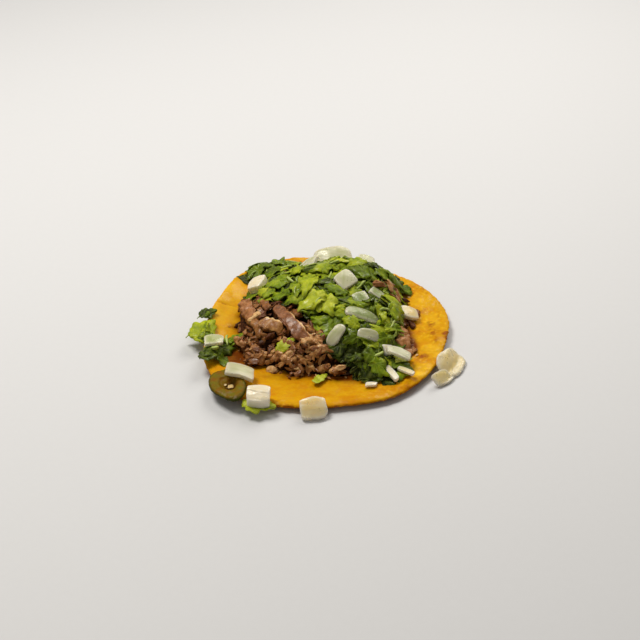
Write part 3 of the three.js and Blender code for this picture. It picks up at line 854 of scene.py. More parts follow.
def beef_finish(look):
    """Moist chopped beef: lean and seared tones, fibres along each bit, wet with fat. Its tone mark also
    carries painted light and shade: the darkest meat as shade in the gaps, the lightest as highlight on strip
    edges.
    """
    finish = Finish(
        "chopped_beef", glow=(0.8, (1.0, 0.4, 0.25)), IOR=1.42, Subsurface_Weight=0.2,
        Specular_IOR_Level=0.3, Coat_Roughness=0.24, Coat_IOR=1.4
    )
    grain, tone = finish.mark("grain", "Vector"), finish.mark("tone")
    fibre = finish.grain(1.0, 4, 0.65, finish.scaled(grain, (0.25, 1.2, 1.2)))
    blotch = finish.grain(380, 4, 0.62)
    shade = finish.plus(finish.plus(tone, finish.times(blotch, 0.9)), finish.times(fibre, 0.5))
    # the darkest stop paints shade in the core and hollows, the lightest the highlight on strip edges
    stops = zip((0.0, 0.3, 0.55, 0.8, 1.0), (look.dark, look.seared, look.middle, look.light, look.fat))
    colour = finish.ramp(finish.ranged(shade, 0.6, 1.7), *stops)
    blush = finish.times(finish.mark("blush"), finish.ranged(blotch, 0.42, 0.62, 0.05, 0.6))
    colour = finish.mixed(blush, colour, look.blush)
    normal = finish.bump(blotch, 0.7, 0.7)
    normal = finish.bump(fibre, 0.35, 0.8, below=normal)
    normal = finish.bump(finish.grain(1500), 0.08, 0.6, below=normal)
    rough = finish.ranged(finish.grain(500), 0.35, 0.7, 0.28, 0.6)
    rough = finish.math("MAXIMUM", rough, finish.ranged(tone, 0.0, 0.2, 0.95, 0.0))
    drops = finish.ranged(finish.grain(260), 0.48, 0.6)
    wet = finish.times(drops, finish.ranged(tone, 0.1, 0.5, 0, 0.65))
    return finish.set(Base_Color=colour, Roughness=rough, Normal=normal, Coat_Weight=wet)


# The pieces of meat that stand out of the heap: x, y, heading in degrees, length, width, thickness,
# tone, pinkness and how much a painted highlight lightens the edge on their left.
STANDING_MEAT = [
    (-39, 3, -77, 26, 7.0, 5.0, 0.6, 0.7, 0),
    (-31, 5, -64, 15, 4.8, 3.0, 0.5, 0.1, 0.3),
    (-36, -6, 20, 8, 3.8, 2.6, 1.0, 0.4, 0.2),
    (-34, -15, -78, 14, 4.2, 3.0, 0.6, 0.1, 0),
    (-27, -16, -25, 14, 6.5, 2.4, 0.64, 0, 0.25),
    (-29, -29, -35, 9, 4.0, 3.0, 0.5, 0, 0.4),
    (-19, -25, -35, 11, 3.6, 2.0, 0.65, 0.3, 0.2),
    (-43, -18, -50, 10, 3.6, 3.0, 0.75, 0.8, 0),
    (-39, -22, -72, 12, 3.6, 2.6, 0.65, 0.4, 0.2),
    (-33, -29, -70, 12, 4.2, 3.0, 0.6, 0.3, 0),
    (-20, -34, -40, 10, 3.6, 2.6, 0.75, 0.4, 0.2),
    (-26, -36, -10, 6, 3.5, 2.8, 1.0, 0.9, 0),
    (-13, -34, -100, 12, 4.2, 3.0, 0.6, 0.3, 0.3),
    (-6, -27, 30, 12, 4.8, 2.8, 0.8, 0.3, 0.2),
    (-2, -33, 20, 9, 4.0, 2.4, 0.7, 0.3, 0.2),
    (0, -38, 10, 7, 3, 2.4, 0.75, 0.3, 0),
    (7, -40, 20, 9, 2.4, 1.6, 1.0, 1.0, 0),
    (-14, -4, -75, 9, 4.5, 3.4, 0.45, 0, 0.3),
    (-5, -14, 0, 7, 5, 3.0, 0.3, 0.4, 0),
    (-16, -16, -60, 34, 6.6, 2.2, 0.42, 0.35, 0.7),
    (41, -13, -74, 17, 7.5, 5.2, 0.75, 0.9, 0),
    (43, -22, -60, 9, 4.6, 3.6, 0.6, 0.6, 0.2),
    (-30, 51, -65, 12, 6, 3.6, 0.5, 0.6, 0),
    (-24, 46, -70, 12, 5, 3.6, 0.6, 0.5, 0.2),
    (50, 12, 70, 8, 2.8, 2.4, 0.35, 0.2, 0),
    (47, 3, 100, 7, 3.0, 2.4, 0.15, 0, 0),
]
# The bits that lie on the leaves at the back right: x, y, heading, length, width, thickness, tone, pinkness.
MEAT_ON_LEAVES = [
    (31, 16, 15, 9, 4.0, 3.2, 0.65, 0.7),
    (36, 18, -10, 7, 4.2, 3.2, 0.85, 0.7),
    (35, 22, 35, 8, 3.8, 3.0, 0.5, 0.5),
    (39, 24, 28, 8, 3.4, 2.8, 0.35, 0.3),
    (40, 20, -35, 7, 4.0, 3.0, 0.7, 0.7),
    (44, 18, 60, 7, 3.2, 2.6, 0.15, 0.1),
    (40, 15, 10, 6, 3.8, 3.0, 0.8, 0.8),
    (45, 23, 15, 7, 2.8, 2.2, 0.1, 0.1),
    (37, 14, -50, 5, 3.2, 2.6, 0.5, 0.4),
]
# The black gaps in the meat, where the heap is lowered and the bits in them are painted darker: x, y, half
# sizes across and along, depth.
HOLLOWS = [
    (-11, -7, 5.5, 6.5, 12),
    (-26, -8, 3.4, 4.5, 9),
    (-27, -25, 4.5, 2.0, 4.5),
    (1, -20, 2.5, 2.5, 4),
    (4, -36, 4, 2.5, 3.5),
    (13, -37, 5, 4.5, 7),
    (-9, -33, 1.6, 2.5, 3),
]
# Painted light on the front of the heap, which faces away from the lights, and a darker patch on the left: x,
# y, half sizes across and along, change of tone.
MEAT_PAINTED_LIGHT = [(-8, -36, 26, 12, 0.24), (-34, -8, 16, 18, -0.2)]

LONG_STRIP = 12.5  # a strip longer than this keeps the loose bits off its place
HEAP_LOWEST = 2.5
BIT_SHAPES = 16  # how many different chunks there are, and crumbs
CHUNK_CELLS = (9, 7, 7)
SLIM_CELLS = (9, 6, 6)
CRUMB_CELLS = (6, 5, 5)


class BeefHeap:
    """The chopped beef on its ground. Its random draws come in a fixed order, those of the strips apart."""

    def __init__(self, look, seed):
        self.draw, self.material = random.Random(seed), beef_finish(look)
        self.top, self.table, self.greens = (Heights.of([name]) for name in ("beef", "tortilla", "coriander"))
        self.others = Heights.highest(self.table.cells, self.greens.cells)
        slope = Heights.highest(self.top.cells, self.others.cells, floor=0.0).softened()
        filled = Heights.highest(self.top.cells - look.depth / MM, self.table.cells).cells
        dips = spots(Heights.places(), HOLLOWS).reshape(filled.shape)
        ground = Heights.highest(filled - dips, floor=HEAP_LOWEST)
        self.bed = Bed(ground, slope, Heights.of(ONION_NODES + LEAF_NODES, FAR, below=True))
        self.taken = Heights.flat(-FAR)  # above 0 where a long strip will lie

    def sprinkle(self, name, shapes, spacing, lengths, allowed, deepest):
        """Strews bits over the heap, apart from its deepest gaps and the places of the long strips. Bits in
        the gaps get painted shade.
        """
        pile, draw, bed = Pile("tone", "blush"), self.draw, self.bed
        for x, y in scatter_places("beef", spacing, draw):
            length = draw.triangular(*lengths)
            size = (length, length * draw.uniform(0.36, 0.6), length * draw.uniform(0.28, 0.46))
            spin, tip, towards = draw.uniform(*ANY_TURN), draw.gauss(0, 0.5), draw.uniform(*ANY_TURN)
            tone, blush = max(0.15, draw.gauss(0.5, 0.17)), max(0.0, draw.gauss(0.05, 0.3))
            # painted light on the heap's front, darker on its left
            tone = spots_at(x, y, MEAT_PAINTED_LIGHT, tone)
            shape, triangles = draw.choice(shapes)
            here, gap = self.top.over(x, y), spots_at(x, y, HOLLOWS)
            if here < max(self.others.over(x, y) - 1.0, 0) or gap > draw.uniform(0.5, 1) * deepest:
                continue
            if self.taken.over(x, y) > 0:
                continue
            sized = shape * size / 2
            laid = bed.laid(sized, x, y, spin, tip, towards)
            if bed.drop(laid, max(here - gap, bed.ground.over(x, y) - 0.5) + allowed):
                # painted shade: a bit in a hollow is darker by its depth
                pile.add(laid, triangles, sized, tone=tone - 0.15 * gap, blush=blush)
        pile.piece(name, self.material, "beef")

    def strips(self):
        """The shape, triangles and place of each strip, not yet at its height. Long ones take their place."""
        made = []
        for index, (x, y, heading, length, width, thickness, *_) in enumerate(STANDING_MEAT):
            draw = random.Random(index)
            bend = draw.uniform(-0.1, 0.12)
            shape, triangles = ragged_strip(draw, length, width, thickness, bend, rough=1 - length / 80)
            lumps = noise_at(shape, 2.6, index) * 0.5 + noise_at(shape * (0.3, 1, 1), 0.9, 7, 1) * 0.15
            shape[:, 1:] *= 1 + 4 * lumps[:, None] / (width + thickness)
            laid = self.bed.laid(shape, x, y, math.radians(heading))
            if length > LONG_STRIP:
                self.taken.raise_to(laid + (0, 0, FAR))
            made.append((shape, triangles, laid))
        return made

    def lay_strips(self, strips):
        """Drops the strips, with a painted highlight along one edge."""
        pile = Pile("tone", "blush")
        for (x, y, _, _, width, thickness, tone, blush, edge), strip in zip(STANDING_MEAT, strips):
            shape, triangles, laid = strip
            highest = max(self.top.over(x, y), self.others.over(x, y)) + 1.2 + thickness * 0.5
            self.bed.drop(laid, highest, covered=False)
            # painted highlight along the strip's left edge
            light = edge * unit((shape[:, 1] / width - 0.36) * 9)
            pile.add(laid, triangles, shape, tone=tone + light, blush=blush * (1 - light))
        pile.piece("beef_strips", self.material, "beef")

    def put_on_leaves(self):
        """Puts some bits on the leaves that will lie beside the beef."""
        pile = Pile("tone", "blush")
        for x, y, heading, length, width, thickness, tone, blush in MEAT_ON_LEAVES:
            shape, triangles = meat_bit(self.draw, SLIM_CELLS)
            sized = shape * (length / 2, width / 2, thickness / 2)
            lift = self.others.over(x, y) + self.draw.uniform(1.2, 2.2)
            laid = self.bed.laid(sized, x, y, math.radians(heading)) + (0, 0, lift)
            pile.add(laid, triangles, sized, tone=tone, blush=blush)
        pile.piece("beef_on_leaves", self.material, "beef")

    def drop_crumbs(self, crumbs):
        """Scatters crumbs on the bare tortilla round the heap, most of them close to it."""
        pile, draw, heap = Pile("tone", "blush"), self.draw, Surface(["beef"])
        for x, y in scatter_places("beef", 2.6, draw, margin=7):
            size, spin, tone = draw.triangular(0.8, 3.0, 1.4), draw.uniform(*ANY_TURN), draw.gauss(0.7, 0.25)
            shape, triangles = draw.choice(crumbs)
            level = self.table.over(x, y)
            if level < 1 or self.top.over(x, y) > 0 or self.greens.over(x, y) > 0:
                continue
            if heap.nearest((x, y, level))[3] > draw.triangular(0, 5, 0.5):
                continue
            sized = shape * (size / 2, size / 2.6, size / 3)
            laid = turned(sized, frame_on(Vector((0, 0, 1)), spin), (x, y, level + size / 8))
            pile.add(laid, triangles, sized, tone=tone, blush=0.1)
        pile.piece("beef_crumbs", self.material, "beef")


class TACO_OT_beef(bpy.types.Operator):
    """Heap up the chopped beef: its dark core as painted shade, the bits on it and the long strips"""

    bl_idname = "taco.beef"
    bl_label = "Chopped beef"

    def execute(self, context):
        look = settings().beef
        heap = BeefHeap(look, settings().seed)
        # tone 0 gives the darkest meat: painted shade in the gaps of the heap
        press_core("beef", heap.bed.slope, look.depth / MM, heap.material, HOLLOWS, tone=0.0, blush=0.0)
        chunks = [meat_bit(heap.draw, CHUNK_CELLS) for _ in range(BIT_SHAPES)]
        crumbs = [meat_bit(heap.draw, CRUMB_CELLS, torn=0.6) for _ in range(BIT_SHAPES)]
        strips = heap.strips()
        heap.sprinkle("beef_chunks", chunks, look.coarse / MM, (4.0, 8.5, 5.5), allowed=0.4, deepest=3.5)
        heap.lay_strips(strips)
        heap.sprinkle("beef_bits", crumbs, look.fine / MM, (3.0, 7.4, 4.6), allowed=0.7, deepest=2.0)
        heap.put_on_leaves()
        heap.drop_crumbs(crumbs)
        return {"FINISHED"}


# ------------------------------------------------------------------ coriander


Leaf = namedtuple("Leaf", "sheet triangles edge ribs")

LEAF_POINTS = 56
LEAF_SHAPES = 40  # how many different leaves are strewn
LEAF_RINGS = (0.5, 1.0)
FINE_LEAF_RINGS = (0.35, 0.7, 1.0)
# The lobes of a coriander leaf: direction in degrees from its tip and reach.
LEAF_LOBES = [(0, 1.35), (62, 1.05), (-62, 1.05), (118, 0.72), (-118, 0.72)]


def leaf_outline(draw):
    """The angles round a leaf, how far its lobes reach at each, and how near each is to a rib."""
    angles = np.linspace(-math.pi, math.pi, LEAF_POINTS, endpoint=False)
    reach, rib = np.full(LEAF_POINTS, 0.45), np.zeros(LEAF_POINTS)
    for heading, size in LEAF_LOBES:
        lobe = angles - (math.radians(heading) + draw.gauss(0, 0.12))
        away = np.arctan2(np.sin(lobe), np.cos(lobe))
        fan = size * draw.uniform(0.8, 1.15) * unit(np.cos(np.clip(1.85 * away, -1.57, 1.57))) ** 0.36
        reach = np.maximum(reach, fan * (0.82 + 0.18 * np.abs(np.cos(5.2 * away))))
        rib = np.maximum(rib, np.exp(-((away / 0.2) ** 2)))
    return angles, reach, rib


def coriander_leaf(draw, cuts=2, rings=FINE_LEAF_RINGS):
    """The middle sheet of a leaf about 2 long and wide in its own axes, with up to `cuts` knife cuts."""
    angles, reach, rib = leaf_outline(draw)
    phase = draw.uniform(*ANY_TURN)
    flat = [(0.0, 0.0)]
    for share in rings:
        flat += [(share * far * math.cos(at), share * far * math.sin(at)) for at, far in zip(angles, reach)]
    flat = np.array(flat)
    for _ in range(draw.randint(0, cuts)):
        at, far = draw.uniform(-math.pi, math.pi), draw.uniform(0.15, 0.7)
        knife = np.array((math.cos(at), math.sin(at)))
        flat = flat - np.outer(np.clip(flat @ knife - far, 0, None), knife)
    flat -= (flat.max(0) + flat.min(0)) / 2
    flat /= np.abs(flat).max(0)
    x, y = flat.T
    angle, far = np.arctan2(y, x), np.hypot(x, y)
    ribs = np.concatenate([[1.0]] + [rib] * len(rings))
    z = -draw.uniform(0.05, 0.14) * ribs * unit(far)
    z += draw.gauss(0, 0.2) * far**2 + draw.gauss(0, 0.22) * x * np.abs(x) + draw.gauss(0, 0.16) * x * y
    z += draw.uniform(0.06, 0.17) * far**2 * np.sin(5 * angle + phase)
    z += draw.uniform(0.03, 0.08) * far**3 * np.sin(11 * angle + 2 * phase)
    count, last = LEAF_POINTS, 1 + (len(rings) - 1) * LEAF_POINTS
    triangles = [(0, 1 + k, 1 + (k + 1) % count) for k in range(count)]
    for start in range(1, last, count):
        for k in range(count):
            a, b = start + k, start + (k + 1) % count
            triangles += [(a, a + count, b + count), (a, b + count, b)]
    return Leaf(np.column_stack([flat, z]), np.array(triangles), np.arange(last, last + count), ribs)


def leaf_solid(sheet, leaf, thickness):
    """Vertices and triangles of a leaf's sheet closed into a thin solid."""
    triangles, edge = leaf.triangles, leaf.edge
    corners = sheet[triangles]
    facing = np.cross(corners[:, 1] - corners[:, 0], corners[:, 2] - corners[:, 0])
    normals = np.zeros_like(sheet)
    for k in range(3):
        np.add.at(normals, triangles[:, k], facing)
    normals /= np.maximum(np.linalg.norm(normals, axis=1, keepdims=True), 1e-9)
    count, after = len(sheet), np.roll(edge, -1)
    vertices = np.concatenate([sheet + normals * thickness / 2, sheet - normals * thickness / 2])
    wall = np.column_stack([edge, edge + count, after + count, edge, after + count, after])
    halves = wall[:, :3], wall[:, 3:]
    return vertices, np.concatenate([triangles, triangles[:, ::-1] + count, *halves])


def leaf_finish(look, name):
    """Fresh coriander: young, ordinary and dark leaves, veined, paler beneath, wet in patches. The tone mark
    also carries painted light and shade.
    """
    finish = Finish(
        name, glow=(0.5, (0.7, 1.0, 0.08)), IOR=1.4, Subsurface_Weight=0.3, Specular_IOR_Level=0.16,
        Coat_Roughness=0.14, Coat_IOR=1.4
    )
    grain, blotch = finish.mark("grain", "Vector"), finish.grain(230, 4, 0.6)
    shade = finish.plus(finish.mark("tone"), finish.ranged(blotch, 0.3, 0.7, -0.26, 0.26))
    stops = zip((0.0, 0.4, 0.75, 1.0), (look.dark, look.middle, look.bright, look.young))
    colour = finish.ramp(finish.ranged(shade, 0, 1.25), *stops)
    net = finish.cells(0.5, "DISTANCE_TO_EDGE", finish.scaled(grain, (1, 1, 0)))
    net = finish.times(finish.ranged(net, 0, 0.1, 1, 0), 0.35)
    ribs = finish.math("MAXIMUM", finish.ranged(finish.mark("rib"), 0.6, 1.0), net)
    under = finish.times(finish.mark("under"), 0.5)
    colour = finish.layered(colour, (finish.times(ribs, 0.24), look.pale), (under, look.pale))
    normal = finish.bump(ribs, 0.14, 0.8)
    normal = finish.bump(finish.grain(1300, 2), 0.05, 0.5, below=normal)
    rough = finish.ranged(finish.grain(240), 0.35, 0.65, 0.32, 0.6)
    wet = finish.ranged(finish.grain(170), 0.52, 0.62, 0.0, 0.45)
    return finish.set(Base_Color=colour, Roughness=rough, Normal=normal, Coat_Weight=wet)


def stem_finish(look):
    """Pale green stalks, ribbed along their length."""
    finish = Finish("coriander_stalk", glow=(0.8, (0.6, 0.9, 0.2)), Roughness=0.38, Subsurface_Weight=0.25)
    ribs = finish.grain(1.0, 2, vector=finish.scaled(finish.mark("grain", "Vector"), (0.15, 2.2, 2.2)))
    pale = finish.ranged(finish.plus(finish.mark("tone"), ribs), 0.3, 1.4)
    colour = finish.mixed(pale, look.middle, look.stem)
    return finish.set(Base_Color=colour, Normal=finish.bump(ribs, 0.15, 0.6))


class LeafPile(Pile):
    """A pile of leaves, each closed from its middle sheet."""

    def __init__(self, thickness):
        super().__init__("tone", "under", "rib")
        self.thickness = thickness

    def add_leaf(self, leaf, laid, size, tone):
        """Adds one leaf, with its sheet already laid."""
        vertices, faces = leaf_solid(laid, leaf, self.thickness)
        grain, rib = np.tile(leaf.sheet * size, (2, 1)), np.tile(leaf.ribs, 2)
        under = np.repeat([0.0, 1.0], len(laid))
        self.add(vertices, faces, grain, tone=tone, under=under, rib=rib)


def leaf_size(length, width):
    """Half sizes of a leaf along its own axes."""
    return np.array((length, width, 0.8 * length)) / 2


def lay_leaves(pile, rows, bed, draw, allowed, tilt=0.0, **laying):
    """Lays the leaves of a table one by one: x, y, heading in degrees, length, width, tone."""
    for x, y, heading, length, width, tone in rows:
        leaf, size = coriander_leaf(draw, cuts=1), leaf_size(length, width)
        lean = (draw.gauss(0, tilt), draw.uniform(*ANY_TURN)) if tilt else ()
        laid = bed.laid(leaf.sheet * size, x, y, math.radians(heading), *lean)
        bed.drape(laid, allowed, **laying)
        pile.add_leaf(leaf, laid, size, tone)


def stalk(draw, length, width, bend):
    """Vertices and triangles of a thin stalk along x."""
    return ragged_strip(draw, length, width, width, bend, twist=0, steps=12, sides=8)


# The two layers of strewn leaves: name, spacing as a multiple of the setting, how far above the heap's
# broad shape they may stand, how much darker they are painted, as shade on the lower layer, the gap below
# them, and how much darker a place has to be than for the others before it stays bare.
LEAF_LAYERS = [("bed", 1.0, -1.0, 0.42, 0.1, 0.3), ("leaves", 1.35, 2.0, 0.0, 1.0, 0.0)]
# Painted light and shade on the leaves, where a strongly dark place also stays bare: x, y, half sizes across
# and along, change of tone.
LEAF_PAINTED_LIGHT = [
    (-36, 52, 14, 9, -0.3),
    (-22, 24, 10, 9, -0.15),
    (-16, 18, 5, 6, -0.95),
    (-45, 37, 7, 7, -1.0),
    (3, 11, 5, 4, -0.5),
    (21, 21, 5, 4, -0.5),
    (8, -10, 6, 3, -0.4),
    (-6, 6, 13, 14, 0.15),
    (-8, 32, 14, 9, 0.12),
    (12, 14, 9, 7, -0.15),
    (33, 32, 9, 9, -0.15),
    (10, -30, 17, 9, -0.55),
    (27, -41, 13, 8, -0.12),
]
# The leaves that show: x, y, heading of the tip in degrees, length, width, tone from dark to bright, partly
# the leaf's own colour and partly painted light and shade.
SHOWING_LEAVES = [
    (-43, 54, 200, 12, 8, 0.6),
    (-37, 52, 160, 13, 9, 0.25),
    (-33, 55, 117, 15, 10, 0.3),
    (-25, 57, 60, 12, 8, 0.45),
    (-38, 46, 230, 12, 9, 0.4),
    (-30, 42, 200, 14, 10, 0.3),
    (-17, 54, 80, 13, 9, 0.55),
    (19, 30, 54, 15, 9, 0.72),
    (21, 22, 128, 13, 10, 0.35),
    (30, 51, 166, 13, 9, 0.6),
    (29, 33, 199, 10, 7, 0.1),
    (32, 27, 213, 15, 8, 0.52),
    (40, 31, 333, 12, 10, 0.42),
    (-2, 24, 186, 14, 10, 0.72),
    (-14, 30, 200, 9, 10, 0.75),
    (2, 12, 205, 11, 9, 0.12),
    (7, 5, 158, 14, 9, 0.45),
    (-29, 14, 250, 11, 8, 0.65),
    (-23, 9, 185, 14, 10, 0.48),
    (-24, 21, 228, 14, 13, 0.6),
    (-14, 12, 272, 19, 9, 0.68),
    (-8, 10, 256, 19, 11, 0.85),
    (22, 1, 136, 10, 7, 0.15),
    (36, 5, 177, 16, 9, 0.8),
    (37, -3, 357, 13, 11, 0.65),
    (35, -15, 238, 13, 8, 0.6),
    (30, -9, 276, 14, 6, 0.85),
    (10, -13, 169, 11, 7, 0.6),
    (18, -15, 222, 12, 6, 0.55),
    (14, -19, 146, 10, 7, 0.72),
    (1, -5, 300, 18, 12, 0.93),
    (-7, -2, 200, 16, 13, 1.0),
    (16, -35, 191, 11, 7, 0.15),
    (6, -31, 215, 15, 9, 0.04),
    (24, -36, 301, 12, 8, 0.3),
    (30, -41, 329, 15, 10, 0.5),
    (15, -27, 202, 13, 7, 0.25),
    (24, -28, 336, 12, 8, 0.66),
    (26, -24, 202, 21, 5, 0.45),
]
# The stalks that show, in the same words.
SHOWING_STALKS = [
    (-31, 52, 265, 16, 1.2, 0.8),
    (-18, 20, 300, 9, 1.3, 0.9),
    (28, -19, 280, 9, 1.6, 1.0),
    (23, -36, 75, 9, 1.8, 1.0),
    (28, -33, 40, 6, 1.6, 0.9),
]
STALK_SPACING = 13.0


class CorianderHeap:
    """The chopped coriander on its ground. Its random draws come in a fixed order."""

    def __init__(self, look, seed):
        self.draw, self.thickness = random.Random(seed), look.thickness / MM
        self.top, self.others = Heights.of(["coriander"]), Heights.of(["tortilla", "beef"])
        slope = Heights.highest(self.top.cells, self.others.cells, floor=0.0).softened()
        ground = Heights.highest(self.top.cells - look.depth / MM, self.others.cells, floor=0.0)
        ceiling = Heights.of(ONION_NODES + ["beef_on_leaves"], FAR, below=True)
        self.bed = Bed(ground, slope, ceiling, floor=Heights.of(["tortilla"], LEAF_LOWEST))

    def outside(self, x, y, slack):
        """Whether a place isn't on this heap, give or take some slack in height."""
        return self.top.over(x, y) < max(self.others.over(x, y) - slack, 0)

    def strew(self, leaves, spacing, allowed, dull, gap, patience):
        """A layer of leaves all over the heap, apart from its dark hollows, with painted light and shade in
        its tones.
        """
        pile, draw = LeafPile(self.thickness), self.draw
        for x, y in scatter_places("coriander", spacing, draw):
            length = draw.triangular(9.0, 18.0, 12.0)
            size = leaf_size(length, length * draw.uniform(0.6, 1.0))
            spin, tip, towards = draw.uniform(*ANY_TURN), abs(draw.gauss(0, 0.5)), draw.uniform(*ANY_TURN)
            # dull is painted shade on the lower layer
            tone, leaf = draw.gauss(0.58, 0.27) - dull, draw.choice(leaves)
            if self.outside(x, y, 2.0):
                continue
            # painted light and shade at this place
            shade = spots_at(x, y, LEAF_PAINTED_LIGHT)
            if shade < -draw.uniform(0.25, 0.6) - patience:
                continue
            laid = self.bed.laid(leaf.sheet * size, x, y, spin, tip, towards)
            self.bed.drape(laid, allowed, gap=gap)
            pile.add_leaf(leaf, laid, size, max(tone + shade, 0))
        return pile

    def stalks(self):
        """Scattered stalks, and the ones that show."""
        draw, pile = self.draw, Pile("tone")
        rows = [
            (x, y, draw.uniform(0, 360), draw.uniform(5, 12), draw.uniform(0.8, 1.3), draw.random())
            for x, y in scatter_places("coriander", STALK_SPACING, draw)
        ]
        for x, y, heading, length, width, tone in rows + SHOWING_STALKS:
            shape, triangles = stalk(draw, length, width, draw.uniform(-0.15, 0.15))
            if self.outside(x, y, 0.5):
                continue
            laid = self.bed.laid(shape, x, y, math.radians(heading))
            if self.bed.drop(laid, self.bed.slope.over(x, y) + 3.5, sink=90):
                pile.add(laid, triangles, shape, tone=tone)
        return pile


class TACO_OT_coriander(bpy.types.Operator):
    """Strew the chopped coriander: a dark core as painted shade, the leaves over it and the stalks"""

    bl_idname = "taco.coriander"
    bl_label = "Chopped coriander"

    def execute(self, context):
        look = settings().coriander
        material = leaf_finish(look, "coriander_leaf")
        heap = CorianderHeap(look, settings().seed + 1)
        # tone -0.1 gives the darkest leaf colour: painted shade between the leaves
        press_core("coriander", heap.bed.slope, look.depth / MM, material, tone=-0.1, under=0.0, rib=0.0)
        leaves = [coriander_leaf(heap.draw, cuts=3, rings=LEAF_RINGS) for _ in range(LEAF_SHAPES)]
        for name, spacing, *layer in LEAF_LAYERS:
            strewn = heap.strew(leaves, look.spacing / MM * spacing, *layer)
            strewn.piece(f"coriander_{name}", material, "coriander")
        pile = LeafPile(heap.thickness)
        lay_leaves(pile, SHOWING_LEAVES, heap.bed, heap.draw, 4.0, tilt=0.15, bedded=78, gap=0.8)
        pile.piece("coriander_top_leaves", material, "coriander")
        heap.stalks().piece("coriander_stalks", stem_finish(look), "coriander")
        return {"FINISHED"}


# The small leaves among the loose ones on the left rim, in the words of SHOWING_LEAVES.
RIM_LEAVES = [
    (-61, -13, 200, 11, 8, 0.3),
    (-56, -17, 120, 10, 7, 0.6),
    (-59, -22, 260, 10, 8, 0.2),
    (-54, -24, 320, 10, 7, 0.3),
    (-57, -29, 230, 9, 7, 0.15),
    (-51, -30, 280, 8, 6, 0.25),
    (-64, -4, 100, 12, 9, 0.85),
    (-67, -9, 190, 10, 7, 0.75),
    (-62, -8, 60, 11, 8, 0.65),
    (-51, -13, 30, 10, 6, 0.45),
    (-47, -14, 350, 9, 6, 0.3),
    (-64, 6, 150, 8, 5, 0.35),
]
# The small stalks there, in the same words.
RIM_STALKS = [(-50, -14, 275, 9, 1.3, 0.9), (-55, -26, 20, 4, 1.6, 1.0)]
# How bright each loose leaf is.
LOOSE_TONES = {
    "fallen_leaf_1": 0.85,
    "fallen_leaf_2": 0.2,
    "fallen_leaf_3": 0.15,
    "fallen_leaf_4": 0.12,
    "fallen_leaf_5": 0.95,
    "fallen_leaf_6": 1.0,
    "beef_leaf_1": 0.5,
    "beef_leaf_2": 1.05,
}


def loose_leaf(name, draw):
    """A whole leaf, laid in the place of its solid and bent half way to its top, and its half sizes."""
    centre, axes, half = own_axes(name)
    solid, leaf = Surface([name]), coriander_leaf(draw, cuts=0)
    size = np.array((half[0], half[1], half[1] * 0.6)) * 1.08
    laid = turned(leaf.sheet * size, axes.T, centre)
    for point in laid:
        level = solid.top(point[0], point[1])
        if level is not None:
            point[2] = 0.5 * point[2] + 0.5 * (level - 0.2)
    return leaf, laid, size


class TACO_OT_loose_leaves(bpy.types.Operator):
    """Drop the loose coriander leaves on the rim and on the bare meat"""

    bl_idname = "taco.loose_leaves"
    bl_label = "Loose leaves"

    def execute(self, context):
        look = settings().coriander
        material = leaf_finish(look, "loose_leaf")
        draw, thickness = random.Random(settings().seed + 2), look.thickness / MM
        for name in LEAF_NODES:
            pile = LeafPile(thickness)
            pile.add_leaf(*loose_leaf(name, draw), LOOSE_TONES[name])
            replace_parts(pile.piece(f"loose_{name}", material, "coriander"), name)
        table = Heights.of(["tortilla"], 0.0)
        ground = Heights.highest(table.cells, Heights.of([f"loose_{name}" for name in LEAF_NODES]).cells)
        bed = Bed(ground, table.softened(), Heights.of(ONION_NODES, FAR, below=True))
        leaves, stalks = LeafPile(thickness), Pile("tone")
        lay_leaves(leaves, RIM_LEAVES, bed, draw, 6.0, bedded=80)
        leaves.piece("rim_leaves", material, "coriander")
        for x, y, heading, length, width, tone in RIM_STALKS:
            shape, triangles = stalk(draw, length, width, bend=0.1)
            laid = bed.laid(shape, x, y, math.radians(heading))
            bed.drop(laid, FAR, sink=90)
            stalks.add(laid, triangles, shape, tone=tone)
        stalks.piece("rim_stalks", stem_finish(look), "coriander")
        return {"FINISHED"}


# ------------------------------------------------------------------ onion


def onion_finish(look, name, tinge, clear, tint=None):
    """Wet onion flesh: half see-through, with fine veins along each piece and painted highlight whitening its
    rim.
    """
    finish = Finish(
        name, glow=(2.6, (1.0, 0.95, 0.8)), IOR=1.34, Subsurface_Weight=0.85, Transmission_Weight=clear,
        Specular_IOR_Level=0.5, Coat_Weight=0.3, Coat_Roughness=0.12
    )
    tint = tint or look.tinge
    vein = finish.grain(1.0, 1, vector=finish.scaled(finish.mark("grain", "Vector"), (0.03, 1.1, 0.3)))
    colour = finish.layered(
        look.flesh,
        (finish.ranged(finish.grain(130, 2), 0.3, 0.7, 0.5 * tinge, tinge), tint),
        (finish.ranged(vein, 0.42, 0.7, 0, 0.5 * tinge), tint),
        # painted highlight: the rim of each piece whitened
        (finish.times(finish.mark("rim"), 0.9), look.flesh),
    )
    rough = finish.ranged(finish.grain(250, 2), 0.3, 0.7, 0.24, 0.4)
    return finish.set(Base_Color=colour, Roughness=rough, Normal=finish.bump(vein, 0.2, 0.8))


# The numbers of the onion pieces by finish; the others are plain white.
ONION_FINISHES = {
    "heap": {"clear": [1, 2, 3, 4, 9, 10, 12], "leafy": [5, 6, 7], "shine_through": [8]},
    "fallen": {"clear": [7], "green": [8], "shine_through": [1, 3, 4, 5]},
}
PETALS = ("heap_onion_1", "heap_onion_7", "heap_onion_9", "heap_onion_10", "fallen_onion_3")
PLATE_POINTS = 64
THINNEST_PLATE = 1.4
PETAL_CORNERS = 3.4  # how sharp the corners of a plate are
DICE_CORNERS = 20
